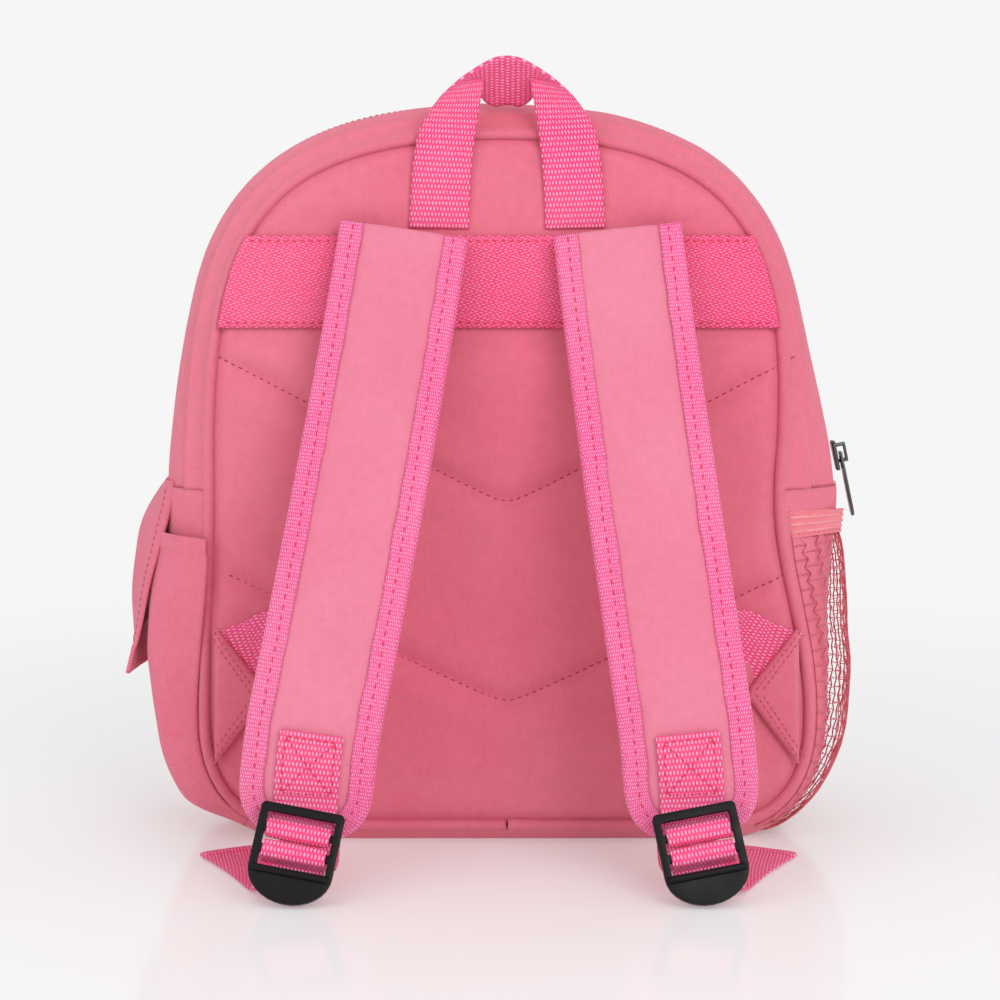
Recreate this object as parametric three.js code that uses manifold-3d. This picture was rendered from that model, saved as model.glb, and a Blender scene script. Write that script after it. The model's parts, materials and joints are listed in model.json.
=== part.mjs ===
// A child's school backpack, in millimetres: +Z up, X across the shoulders, the straps on the -Y side.
// The origin is the middle of the flat base. Two panels stand at the back and the front; a gusset, the
// strip of cloth between them, runs all round their edge and holds the zip, the pockets and the base.
import * as THREE from "three";
import { mergeVertices } from "three/addons/utils/BufferGeometryUtils.js";
import Module from "manifold-3d";

// ---- Driving dimensions ----
const GAP = 0.3; // air kept between pieces that touch
const FABRIC = 1.2; // body cloth with its backing
const LINING = 0.8;
const LINING_ROOM = 1.7; // air between the lower gusset and its lining
const FOAM = 5; // padding of the back panel
const WEBBING = 1.4; // thickness of the woven straps
const WEBBING_WIDTH = 25;
const PIPING_RADIUS = 2.25;

const TOP = 300; // upper edge of the panels
const BOTTOM = 5; // lower edge of the panels; the base swells down from it to the floor
const BASE_HALF = 90; // straight stretch of the lower edge, each way from the middle
const HALF_WIDTH = 130; // widest, just above the bottom corners
const WIDEST_Z = 52;
const WAIST_Z = 160;
const WAIST = { left: 127, right: 116.5 }; // half-widths where the side pockets end
const HALF_DEPTH = 46; // the back panel stands at -Y and the front panel at +Y of this

const DOME = { left: 12, right: 8.5 }; // how far the gusset swells out past the panels' edge
const BELLY = { left: 5, right: 16 }; // extra swell beside the main load
const BELLY_Z = 147;
const BELLY_SPREAD = 42;

const FOLD_Z = 150; // the front panel folds down here, and the side pockets start below it
const ZIP_START_Z = 168; // the teeth start above the parked slider
const ZIP_OPENING_HALF = 9; // bare tape shows this far each side of the teeth
const TEETH_HALF = 2.9;

const BAND_LOW = 218; // yoke band across the back panel
const BAND_HIGH = 256;

const STRAP_WIDTH = 52;
const STRAP_THICKNESS = 8.4;
const BINDING_WIDTH = 9.7;
const BINDING_THICKNESS = 0.8;
const STRAP_TOP_X = { left: -42, right: 45 };
const STRAP_END_X = { left: -80, right: 73 };

const LOCK_WIDTH = 33;
const LOCK_LENGTH = 38;
const LOCK_THICKNESS = 3.5;
const LOCK_LEAN = THREE.MathUtils.degToRad(65); // how upright the lock hangs from the strap's end
const LOCK_SLANT = THREE.MathUtils.degToRad(11);

const POCKET_TOP_Z = 130; // mouth of the side pockets
const FRONT_POCKET_TOP = 140;
const FRONT_POCKET_INSET = 14;
const FRONT_POCKET_DEPTH = 16;
const FRONT_ZIP_Z = 123;

const X = new THREE.Vector3(1, 0, 0);
const Y = new THREE.Vector3(0, 1, 0);

// ---- Colours ----
const CLOTH = { color: 0xdc6277, roughness: 0.85, metalness: 0 };
const CLOTH_SIDE = { color: 0xea7c92, roughness: 0.85, metalness: 0 };
const PADDING = { color: 0xf3efe8, roughness: 0.95, metalness: 0 };
const INNER = { color: 0xd98a9c, roughness: 0.8, metalness: 0 };
const WOVEN = { color: 0xf4769f, roughness: 0.7, metalness: 0 };
const STRAP_FACE = { color: 0xf08ba5, roughness: 0.8, metalness: 0 };
const BOARD = { color: 0xe9e6e0, roughness: 0.6, metalness: 0 };
const TAPE = { color: 0xe0708c, roughness: 0.75, metalness: 0 };
const NET = { color: 0xf2a0ad, roughness: 0.7, metalness: 0 };
const HOOKS = { color: 0xe86f93, roughness: 0.95, metalness: 0 };
const PLASTIC = { color: 0x201a1c, roughness: 0.45, metalness: 0 };
const GUNMETAL = { color: 0x45484d, roughness: 0.35, metalness: 0.9 };

const backpack = new THREE.Group();

function add(name, geometry, look, parent = backpack) {
  const mesh = new THREE.Mesh(geometry, new THREE.MeshStandardMaterial(look));
  mesh.name = name;
  parent.add(mesh);
  return mesh;
}

// ---- Cutting and joining ----
const wasm = await Module();
wasm.setup();

function solid(geometry) {
  const bare = geometry.clone();
  bare.deleteAttribute("normal");
  bare.deleteAttribute("uv");
  const merged = mergeVertices(bare, 1e-3);
  const made = new wasm.Mesh({
    numProp: 3,
    vertProperties: merged.attributes.position.array,
    triVerts: new Uint32Array(merged.index.array),
  });
  return new wasm.Manifold(made);
}

function surface(manifold) {
  const mesh = manifold.getMesh();
  const geometry = new THREE.BufferGeometry();
  geometry.setAttribute("position", new THREE.BufferAttribute(mesh.vertProperties, 3));
  geometry.setIndex(new THREE.BufferAttribute(mesh.triVerts, 1));
  return geometry;
}

const joined = (a, ...others) => surface(others.reduce((sum, g) => sum.add(solid(g)), solid(a)));
const cut = (a, ...tools) => surface(tools.reduce((sum, g) => sum.subtract(solid(g)), solid(a)));
const shared = (a, b) => surface(solid(a).intersect(solid(b)));

function box(xs, ys, zs) {
  const geometry = new THREE.BoxGeometry(xs[1] - xs[0], ys[1] - ys[0], zs[1] - zs[0]);
  return geometry.translate((xs[0] + xs[1]) / 2, (ys[0] + ys[1]) / 2, (zs[0] + zs[1]) / 2);
}

// ---- The panels' outline, and the gusset round it ----
// One closed line in X and Z, from the middle of the base up the left side, over the top and down
// the right. The stations along it are shared by every piece, so that neighbours have the same facets.
const STATIONS = 60;

function outlinePath() {
  const path = new THREE.Path();
  path.moveTo(0, BOTTOM);
  path.lineTo(-BASE_HALF, BOTTOM);
  path.bezierCurveTo(-114, BOTTOM, -HALF_WIDTH, 22, -HALF_WIDTH, WIDEST_Z);
  path.bezierCurveTo(-HALF_WIDTH, 95, -WAIST.left, 120, -WAIST.left, WAIST_Z);
  path.bezierCurveTo(-WAIST.left, 260, -105, TOP, 0, TOP);
  path.bezierCurveTo(95, TOP, WAIST.right + 7.5, 260, WAIST.right, WAIST_Z);
  path.bezierCurveTo(WAIST.right - 3, 120, HALF_WIDTH, 95, HALF_WIDTH, WIDEST_Z);
  path.bezierCurveTo(HALF_WIDTH, 22, 114, BOTTOM, BASE_HALF, BOTTOM);
  path.closePath();
  return path;
}

const outline = outlinePath();
const ring = outline.getSpacedPoints(STATIONS).slice(0, STATIONS);
const STATION_STEP = outline.getLength() / STATIONS;
const SEAM = GAP / STATION_STEP; // the same gap, counted in stations

const ringPoint = (i) => ring[((i % STATIONS) + STATIONS) % STATIONS];

function ringNormal(i) {
  const along = ringPoint(i + 1).clone().sub(ringPoint(i - 1)).normalize();
  return new THREE.Vector2(-along.y, along.x);
}

// The point at station s, moved outwards by w.
function edgePoint(s, w) {
  const i = Math.floor(s);
  const share = s - i;
  const normal = ringNormal(i).lerp(ringNormal(i + 1), share).normalize();
  return ringPoint(i).clone().lerp(ringPoint(i + 1), share).addScaledVector(normal, w);
}

function stationOnLeft(z) {
  let i = 1;
  while (ringPoint(i + 1).y < z) i += 1;
  return i + (z - ringPoint(i).y) / (ringPoint(i + 1).y - ringPoint(i).y);
}

function stationOnRight(z) {
  let i = STATIONS - 1;
  while (ringPoint(i - 1).y < z) i -= 1;
  return i - (z - ringPoint(i).y) / (ringPoint(i - 1).y - ringPoint(i).y);
}

function stations(from, to) {
  const list = [from];
  for (let s = Math.floor(from) + 1; s < to; s += 1) {
    if (s - from > 0.05 && to - s > 0.05) list.push(s);
  }
  list.push(to);
  return list;
}

// The gusset starts behind the piping. Between its two seams it swells outwards: roundly up the sides
// and over the top, and squarely under the base, which is flat where it stands.
const GUSSET_EDGE = HALF_DEPTH - 2 * PIPING_RADIUS - GAP;
const SQUARE_BASE = 3.2;
const ROUND_SIDE = 1.3;

function swell(s, y) {
  const at = edgePoint(s, 0);
  const rightward = THREE.MathUtils.clamp(0.5 + at.x / (2 * HALF_WIDTH), 0, 1);
  const dome = THREE.MathUtils.lerp(DOME.left, DOME.right, rightward);
  const belly = THREE.MathUtils.lerp(BELLY.left, BELLY.right, rightward);
  const height = THREE.MathUtils.smoothstep(at.y, 40, 120);
  const beside = Math.exp(-(((at.y - BELLY_Z) / BELLY_SPREAD) ** 2));
  const across = Math.min(1, Math.abs(y) / GUSSET_EDGE);
  const squareness = THREE.MathUtils.lerp(SQUARE_BASE, ROUND_SIDE, height);
  const fullness = Math.min(1, squareness * (1 - across ** 3));
  return fullness * (BOTTOM + (dome - BOTTOM) * height + belly * beside);
}

// A sheet on the gusset: a box bent so that its length follows the stations, its width the depths
// (along Y), and its two faces lie inner(s, y) and outer(s, y) outside the cloth of the gusset.
function sheet(alongList, depthList, inner, outer) {
  const n = alongList.length - 1;
  const m = depthList.length - 1;
  const geometry = new THREE.BoxGeometry(n, 1, m, n, 1, m);
  const position = geometry.attributes.position;
  for (let k = 0; k < position.count; k += 1) {
    const s = alongList[Math.round(position.getX(k) + n / 2)];
    const y = depthList[Math.round(m / 2 - position.getZ(k))];
    const w = position.getY(k) > 0 ? outer(s, y) : inner(s, y);
    const at = edgePoint(s, w + swell(s, y));
    position.setXYZ(k, at.x, y, at.y);
  }
  return geometry;
}

const level = (w) => () => w;
const DEPTHS = [25, 31, 36, GUSSET_EDGE];
const BACKWARD = [...DEPTHS].reverse().map((y) => -y);

// A flat panel: the outline between stations, pulled in by inset, from y0 to y1.
function panel(alongList, inset, y0, y1) {
  const shape = new THREE.Shape(alongList.map((s) => edgePoint(s, -inset)));
  const geometry = new THREE.ExtrudeGeometry(shape, { depth: y1 - y0, bevelEnabled: false });
  return geometry.rotateX(Math.PI / 2).translate(0, y1, 0);
}

const whole = () => stations(0, STATIONS - 1);
const below = (z) => stations(stationOnRight(z) - STATIONS, stationOnLeft(z));
const above = (z) => stations(stationOnLeft(z), stationOnRight(z));

// The part of a flat panel from one height to another.
function slice([low, high], inset, y0, y1) {
  const wide = box([-2 * HALF_WIDTH, 2 * HALF_WIDTH], [y0 - 1, y1 + 1], [low, high]);
  return shared(panel(whole(), inset, y0, y1), wide);
}

// Piping: a round cord in the seam, with the end faces of its joint a little apart.
function piping(alongList, y) {
  const n = alongList.length - 1;
  const geometry = new THREE.CylinderGeometry(PIPING_RADIUS, PIPING_RADIUS, n, 6, n);
  const position = geometry.attributes.position;
  for (let k = 0; k < position.count; k += 1) {
    const s = alongList[Math.round(position.getY(k) + n / 2)];
    const at = edgePoint(s, position.getX(k) - PIPING_RADIUS);
    position.setXYZ(k, at.x, y + position.getZ(k), at.y);
  }
  return geometry;
}

// ---- Back panel ----
const PANEL_INSET = 2 * PIPING_RADIUS + GAP;
const PIPING_Y = HALF_DEPTH - PIPING_RADIUS;
const FOAM_Y = FABRIC + GAP - HALF_DEPTH;
const BACK_LINING_Y = FOAM_Y + FOAM + GAP;

function addBackPanel() {
  const back = -HALF_DEPTH;
  add("back_panel_cover", panel(whole(), PANEL_INSET, back, back + FABRIC), CLOTH);
  add("back_panel_foam", panel(whole(), PANEL_INSET, FOAM_Y, FOAM_Y + FOAM), PADDING);
  const lining = panel(whole(), PANEL_INSET, BACK_LINING_Y, BACK_LINING_Y + LINING);
  add("back_panel_lining", lining, INNER);
  add("back_piping", piping(stations(SEAM, STATIONS - SEAM), -PIPING_Y), CLOTH);
  const band = slice([BAND_LOW, BAND_HIGH], PANEL_INSET, back - GAP - WEBBING, back - GAP);
  add("yoke_band", band, WOVEN);
}

// ---- Gusset: the zip's two strips over the top, and one long strip down the sides and under ----
const TAPE_OUTER = -FABRIC - GAP;
const TAPE_INNER = TAPE_OUTER - 0.6;
const TAPE_HALF = 14;
const TEETH_RISE = 0.6;

function zipHalf(side) {
  const along = above(ZIP_START_Z);
  const ys = [GAP, TEETH_HALF, TEETH_HALF + 0.1, TAPE_HALF].map((y) => side * y);
  if (side < 0) ys.reverse();
  const outer = (s, y) => (Math.abs(y) <= TEETH_HALF ? TEETH_RISE : TAPE_OUTER);
  return sheet(along, ys, level(TAPE_INNER), outer);
}

function addGusset() {
  const arch = above(FOLD_Z + GAP);
  const rear = sheet(arch, [...BACKWARD, -ZIP_OPENING_HALF], level(-FABRIC), level(0));
  const front = sheet(arch, [ZIP_OPENING_HALF, ...DEPTHS], level(-FABRIC), level(0));
  add("zip_gusset_rear", rear, CLOTH_SIDE);
  add("zip_gusset_front", front, CLOTH_SIDE);
  add("main_zip_rear", zipHalf(-1), TAPE);
  add("main_zip_front", zipHalf(1), TAPE);
  const lower = sheet(below(FOLD_Z), [...BACKWARD, ...DEPTHS], level(-FABRIC), level(0));
  add("lower_gusset", lower, CLOTH_SIDE);
  const liningDepths = [...BACKWARD.slice(1), ...DEPTHS.slice(0, -1)];
  const liningOuter = -FABRIC - LINING_ROOM;
  const liningFaces = [level(liningOuter - LINING), level(liningOuter)];
  add("lower_gusset_lining", sheet(below(FOLD_Z - 2), liningDepths, ...liningFaces), INNER);
  add("base_board", box([-92, 92], [-36, 36], [6.2, 8.2]), BOARD);
  const endHalf = ZIP_OPENING_HALF - GAP;
  const ends = {
    left: [stationOnLeft(FOLD_Z + GAP), stationOnLeft(ZIP_START_Z - GAP)],
    right: [stationOnRight(ZIP_START_Z - GAP), stationOnRight(FOLD_Z + GAP)],
  };
  for (const [side, [from, to]] of Object.entries(ends)) {
    const patch = sheet(stations(from, to), [-endHalf, endHalf], level(-FABRIC), level(0));
    add(`zip_end_${side}`, patch, CLOTH_SIDE);
  }
}

// ---- Front panel: the lower half stays, the upper half folds down with its strip of gusset ----
function addFrontPanel() {
  const face = HALF_DEPTH;
  const inner = face - FABRIC - GAP;
  const halves = {
    lower: { heights: [0, FOLD_Z - GAP], along: below(FOLD_Z - GAP) },
    upper: { heights: [FOLD_Z + GAP, TOP], along: above(FOLD_Z + GAP) },
  };
  for (const [name, { heights, along }] of Object.entries(halves)) {
    add(`front_panel_${name}`, slice(heights, PANEL_INSET, face - FABRIC, face), CLOTH);
    add(`front_lining_${name}`, slice(heights, PANEL_INSET, inner - LINING, inner), INNER);
    add(`front_piping_${name}`, piping(along, PIPING_Y), CLOTH);
  }
}

// ---- Sliders: a wedge plate over the teeth with a bail, and a puller hooked under the bail ----
const SLIDER_LENGTH = 13;
const PULLER_LENGTH = 27;

function sliderBody(plateTurn) {
  const plate = new THREE.Shape();
  plate.moveTo(-3, -SLIDER_LENGTH / 2);
  plate.lineTo(3, -SLIDER_LENGTH / 2);
  plate.lineTo(4.6, SLIDER_LENGTH / 2 - 2);
  plate.quadraticCurveTo(4.6, SLIDER_LENGTH / 2, 2.6, SLIDER_LENGTH / 2);
  plate.lineTo(-2.6, SLIDER_LENGTH / 2);
  plate.quadraticCurveTo(-4.6, SLIDER_LENGTH / 2, -4.6, SLIDER_LENGTH / 2 - 2);
  plate.closePath();
  const base = new THREE.ExtrudeGeometry(plate, { depth: 1.6, bevelEnabled: false, curveSegments: 3 });
  base.rotateZ(plateTurn);
  const legs = [box([-1.2, 1.2], [3.5, 5], [1, 6]), box([-1.2, 1.2], [-3.5, -2], [1, 6])];
  return joined(base, ...legs, box([-1.2, 1.2], [-3.5, 5], [4.8, 6]));
}

function pullerBody() {
  const tab = new THREE.Shape();
  tab.moveTo(-3, 1.2);
  tab.lineTo(3, 1.2);
  tab.absarc(0, 3 - PULLER_LENGTH, 3.6, 0, Math.PI, true);
  tab.closePath();
  const window = new THREE.Path();
  window.moveTo(-1.9, -6.4);
  window.lineTo(1.9, -6.4);
  window.lineTo(1.9, -0.8);
  window.lineTo(-1.9, -0.8);
  window.closePath();
  tab.holes.push(window);
  const settings = { depth: 1.2, bevelEnabled: false, curveSegments: 5 };
  return new THREE.ExtrudeGeometry(tab, settings).translate(0, 0, 2.6);
}

function addSlider(prefix, basis, place, plateTurn = 0) {
  const group = new THREE.Group();
  group.matrix.makeBasis(...basis).setPosition(place);
  group.matrixAutoUpdate = false;
  backpack.add(group);
  add(`${prefix}_slider`, sliderBody(plateTurn), GUNMETAL, group);
  add(`${prefix}_puller`, pullerBody(), GUNMETAL, group);
}

// The side of the bag leans in as it rises, and the main slider runs up along it.
const MAIN_SLIDER = new THREE.Vector3(141.9, 0, 160.4);
const SIDE_LEAN = new THREE.Vector3(-0.21, 0, 0.978).normalize();

function addMainSlider() {
  const outwards = new THREE.Vector3().crossVectors(Y, SIDE_LEAN);
  addSlider("main", [Y, SIDE_LEAN, outwards], MAIN_SLIDER);
}

// ---- Front pocket: a shallow box of cloth with a straight zip across its face ----
function addFrontPocket() {
  const back = HALF_DEPTH + GAP;
  const face = back + FRONT_POCKET_DEPTH;
  const inset = FRONT_POCKET_INSET;
  const wall = slice([0, FRONT_POCKET_TOP], inset, back, face - GAP);
  const hollow = slice([0, FRONT_POCKET_TOP - FABRIC], inset + FABRIC, back - 1, face + 1);
  add("front_pocket_gusset", cut(wall, hollow), CLOTH_SIDE);
  const lowEdge = FRONT_ZIP_Z - 6;
  const highEdge = FRONT_ZIP_Z + 6;
  add("front_pocket_panel", slice([0, lowEdge], inset, face, face + FABRIC), CLOTH);
  const strip = slice([highEdge, FRONT_POCKET_TOP], inset, face, face + FABRIC);
  add("front_pocket_top_strip", strip, CLOTH);
  const tapeBack = face - GAP - 0.6;
  for (const [name, sign] of Object.entries({ lower: -1, upper: 1 })) {
    const row = (near, far) => [near, far].map((z) => FRONT_ZIP_Z + sign * z).sort((a, b) => a - b);
    const tape = box([-110, 100], [tapeBack, face - GAP], row(GAP / 2, 10));
    const teeth = box([-110, 100], [tapeBack, face + 0.6], row(GAP / 2, 1.6));
    add(`front_zip_${name}`, joined(tape, teeth), TAPE);
  }
  const across = new THREE.Vector3(-1, 0, 0);
  const upright = new THREE.Vector3(0, 0, 1);
  const place = new THREE.Vector3(-92, face + 1.7, FRONT_ZIP_Z);
  addSlider("front", [across, upright, Y], place, Math.PI / 2);
}

// ---- Left side pocket: a full cloth pouch with a flap that closes by hook and loop ----
const POUCH_FOOT_Z = 11;
const POUCH_HALF = 38;
const POUCH_DEPTHS = [-POUCH_HALF, ...BACKWARD.slice(1), -12, 12, ...DEPTHS.slice(0, -1), POUCH_HALF];

function pouchFullness(s, y) {
  const z = edgePoint(s, 0).y;
  const reach = z > 45 ? ((z - 45) / 97) ** 2 : ((45 - z) / 34) ** 4;
  return GAP + 22 * Math.max(0, 1 - reach) * Math.max(0, 1 - Math.abs(y / POUCH_HALF) ** 3);
}

const FLAP_LINE = [
  [-145.6, 0, 156],
  [-146.2, 0, 152],
  [-150.5, 0, 141],
  [-156, 0, 128],
  [-164, 0, 101],
  [-169, 0, 76],
];

function addLeftPocket() {
  const along = stations(stationOnLeft(POUCH_FOOT_Z), stationOnLeft(POCKET_TOP_Z));
  const outer = (s, y) => pouchFullness(s, y) + FABRIC;
  add("side_pocket_pouch", sheet(along, POUCH_DEPTHS, pouchFullness, outer), CLOTH);
  const flap = ribbon(FLAP_LINE, [Y]);
  const half = 31;
  add("side_pocket_flap", layer(flap, steps(0, 1, 10), [-half, half], [-0.6, 0.6]), CLOTH);
  const hooks = layer(flap, steps(0.74, 0.92, 2), [-14, 14], [0.9, 2.1]);
  add("side_pocket_hook_patch", hooks, HOOKS);
  const loopAlong = stations(stationOnLeft(78), stationOnLeft(97));
  const loopInner = (s, y) => outer(s, y) + GAP;
  const loopOuter = (s, y) => outer(s, y) + GAP + 1.2;
  add("side_pocket_loop_patch", sheet(loopAlong, [-12, 12], loopInner, loopOuter), HOOKS);
}

// ---- Right side pocket: net with a ribbed elastic along its mouth ----
const NET_FOOT_Z = 9;

function netFullness(s, y) {
  const z = edgePoint(s, 0).y;
  const rise = (z - NET_FOOT_Z) / (POCKET_TOP_Z + 10 - NET_FOOT_Z);
  const profile = Math.sin(Math.PI * THREE.MathUtils.clamp(rise, 0, 1)) ** 0.8;
  return GAP + 12.5 * profile * Math.max(0, 1 - Math.abs(y / POUCH_HALF) ** 3);
}

function addRightPocket() {
  const along = stations(stationOnRight(POCKET_TOP_Z), stationOnRight(NET_FOOT_Z));
  const outer = (s, y) => netFullness(s, y) + FABRIC;
  add("mesh_pocket_net", sheet(along, POUCH_DEPTHS, netFullness, outer), NET);
  const mouth = stations(stationOnRight(POCKET_TOP_Z + 11), stationOnRight(POCKET_TOP_Z + GAP));
  const wall = (lift) => (s, y) => lift + 3 * Math.max(0, 1 - Math.abs(y / POUCH_HALF) ** 3);
  add("mesh_pocket_elastic", sheet(mouth, POUCH_DEPTHS, wall(GAP), wall(GAP + 2)), NET);
}

// ---- Strips of webbing and padding: a box bent along a smooth line ----
// across holds the width's direction at places spread evenly along the line; a point of the strip is
// given by u along the line, x across it, and n off its face. On the shoulder straps n points away
// from the bag.
function ribbon(points, across) {
  const vectors = points.map((p) => (Array.isArray(p) ? new THREE.Vector3(...p) : p));
  const line = new THREE.CatmullRomCurve3(vectors, false, "centripetal");
  return { line, across };
}

function ribbonPoint({ line, across }, u, x, n) {
  const forward = line.getTangentAt(u);
  const place = u * (across.length - 1);
  const i = Math.min(Math.floor(place), Math.max(across.length - 2, 0));
  const wide = across[i].clone();
  if (across.length > 1) wide.lerp(across[i + 1], place - i);
  wide.addScaledVector(forward, -wide.dot(forward)).normalize();
  const normal = new THREE.Vector3().crossVectors(forward, wide);
  return line.getPointAt(u).addScaledVector(wide, x).addScaledVector(normal, n);
}

const steps = (from, to, n) => Array.from({ length: n + 1 }, (_, i) => from + ((to - from) * i) / n);

function layer(strip, us, [x0, x1], [n0, n1]) {
  const n = us.length - 1;
  const geometry = new THREE.BoxGeometry(1, 1, n, 1, 1, n);
  const position = geometry.attributes.position;
  for (let k = 0; k < position.count; k += 1) {
    const u = us[Math.round(position.getZ(k) + n / 2)];
    const x = position.getX(k) < 0 ? x0 : x1;
    const at = ribbonPoint(strip, u, x, position.getY(k) < 0 ? n0 : n1);
    position.setXYZ(k, at.x, at.y, at.z);
  }
  return geometry;
}

// ---- Carry handle: webbing that rises from the yoke and crosses over above the top ----
function addHandle() {
  const y = WEBBING / 2 + GAP + HALF_DEPTH;
  const half = [
    [-28, -y, 265],
    [-27, -y - 0.4, 282],
    [-23, -y - 2, 303],
    [-13, -y - 4, 315],
  ];
  const mirrored = half.map(([x, deep, z]) => [-x, deep, z]).reverse();
  const apex = [0, -y - 4.6, 318.5];
  const down = new THREE.Vector3(0, 0.42, -0.9);
  const turns = [X, X, new THREE.Vector3(0.75, 0.2, -0.65), down];
  const mirroredTurns = turns.slice(0, -1).map((v) => new THREE.Vector3(-v.x, v.y, v.z)).reverse();
  const loop = ribbon([...half, apex, ...mirrored], [...turns, ...mirroredTurns]);
  const width = WEBBING_WIDTH / 2;
  add("handle_loop", layer(loop, steps(0, 1, 24), [-width, width], [-0.7, 0.7]), WOVEN);
}

// ---- Shoulder straps ----
const STRAP_STEPS = 16;

function strapLine(side) {
  const topX = STRAP_TOP_X[side];
  const endX = STRAP_END_X[side];
  const shift = (share) => topX + (endX - topX) * share;
  return [
    [shift(0), -52.9, 258],
    [shift(0.15), -63, 222],
    [shift(0.42), -90, 160],
    [shift(0.71), -109, 100],
    [shift(0.92), -116, 58],
    [shift(1), -117, 21],
  ];
}

function addStrap(side) {
  const strap = ribbon(strapLine(side), [X]);
  const us = steps(0, 1, STRAP_STEPS);
  const half = STRAP_WIDTH / 2;
  const thick = STRAP_THICKNESS / 2;
  const core = half - BINDING_THICKNESS - GAP;
  const faceLow = thick - BINDING_THICKNESS - GAP - LINING;
  const foam = faceLow - GAP;
  const inside = us.filter((u) => u < 0.985);
  add(`strap_foam_${side}`, layer(strap, inside, [-core, core], [-foam, foam]), PADDING);
  const face = layer(strap, inside, [-core, core], [faceLow, faceLow + LINING]);
  add(`strap_face_${side}`, face, STRAP_FACE);
  const backing = layer(strap, inside, [-core, core], [-faceLow - LINING, -faceLow]);
  add(`strap_backing_${side}`, backing, INNER);
  const shell = layer(strap, us, [-half, half], [-thick, thick]);
  const bore = thick - BINDING_THICKNESS;
  const filling = layer(strap, inside, [-core - GAP, core + GAP], [-bore, bore]);
  const windowHalf = half - BINDING_WIDTH;
  const open = us.filter((u) => u < 0.95);
  const window = layer(strap, open, [-windowHalf, windowHalf], [-20, 20]);
  add(`strap_binding_${side}`, cut(shell, filling, window), WOVEN);
}

// ---- Ladder locks: a frame with three slots and a round tongue, hung from the strap's end ----
// In the lock's own frame X is across, Y up towards the strap and Z away from the wearer.
const LOCK_TOP = { y: -126.6, z: 35.5 };
const SLOTS = [
  [3.5, 8.6],
  [11.4, 16.4],
  [19.6, 24.6],
];

function lockFrame(side) {
  const group = new THREE.Group();
  const sign = side === "left" ? -1 : 1;
  group.position.set(STRAP_END_X[side] - sign * 1, LOCK_TOP.y, LOCK_TOP.z);
  group.rotation.set(LOCK_LEAN, 0, sign * LOCK_SLANT);
  backpack.add(group);
  return group;
}

function lockBody() {
  const half = LOCK_WIDTH / 2;
  const tongue = 13;
  const shape = new THREE.Shape();
  shape.moveTo(-half, -2.5);
  shape.quadraticCurveTo(-half, 0, 2.5 - half, 0);
  shape.lineTo(half - 2.5, 0);
  shape.quadraticCurveTo(half, 0, half, -2.5);
  shape.absellipse(0, tongue - LOCK_LENGTH, half, tongue, 0, Math.PI, true);
  shape.closePath();
  for (const [top, bottom] of SLOTS) {
    const slot = new THREE.Path();
    slot.moveTo(-13.5, -bottom);
    slot.lineTo(13.5, -bottom);
    slot.lineTo(13.5, -top);
    slot.lineTo(-13.5, -top);
    slot.closePath();
    shape.holes.push(slot);
  }
  const settings = { depth: LOCK_THICKNESS, bevelEnabled: false, curveSegments: 8 };
  return new THREE.ExtrudeGeometry(shape, settings).translate(0, 0, -LOCK_THICKNESS / 2);
}

// Webbing threaded in the lock, as points of the lock's frame.
const TAB_LOOP = [
  [0, -1.2, -2.9],
  [0, -4.4, -2.6],
  [0, -6.4, 0],
  [0, -7.4, 2.2],
  [0, -10, 2.9],
  [0, -12.3, 2.2],
  [0, -13, 0],
  [0, -12.4, -2.6],
  [0, -10, -4],
];
const ADJUSTER_LOOP = [
  [0, -23.5, -7.2],
  [0, -18.5, -5],
  [0, -15.4, -2.6],
  [0, -15, 0],
  [0, -15.6, 2.3],
  [0, -18, 2.9],
  [0, -20.5, 2.3],
  [0, -21.3, 0],
  [0, -22, -2.6],
  [0, -25.5, -4.4],
];

function addLock(side) {
  const group = lockFrame(side);
  add(`ladder_lock_${side}`, lockBody(), PLASTIC, group);
  const half = WEBBING_WIDTH / 2;
  const thin = [-0.5, 0.5];
  const tab = layer(ribbon(TAB_LOOP, [X]), steps(0, 1, 14), [-half, half], thin);
  add(`lock_tab_loop_${side}`, tab, WOVEN, group);
  const adjuster = layer(ribbon(ADJUSTER_LOOP, [X]), steps(0, 1, 14), [-half, half], thin);
  add(`adjuster_loop_${side}`, adjuster, WOVEN, group);
}

// The tab's stitched end lies on the strap's face, above the lock.
function addLockTab(side) {
  const strap = ribbon(strapLine(side), [X]);
  const face = STRAP_THICKNESS / 2 + GAP;
  const us = steps(0.83, 0.935, 3);
  const half = WEBBING_WIDTH / 2;
  add(`lock_tab_patch_${side}`, layer(strap, us, [-half, half], [face, face + WEBBING]), WOVEN);
}

// ---- Lower webbing: a corner tab in the side seam, the webbing that leaves the tab's upper edge and
// hangs down behind the strap to the lock, and the loose tail on the floor. The webbing moves with the
// strap, so it starts just outside the tab. ----
function addCornerTab(side) {
  const sign = side === "left" ? -1 : 1;
  const shape = new THREE.Shape();
  shape.moveTo(sign * 122, 94);
  shape.lineTo(sign * 102, 68);
  shape.quadraticCurveTo(sign * 101, 65, sign * 102, 62);
  shape.lineTo(sign * 123, 34);
  shape.closePath();
  const cloth = new THREE.ExtrudeGeometry(shape, { depth: 2, bevelEnabled: false, curveSegments: 3 });
  const tab = cloth.rotateX(Math.PI / 2).translate(0, -HALF_DEPTH - GAP - WEBBING - GAP, 0);
  add(`corner_tab_${side}`, tab, CLOTH);
}

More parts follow.
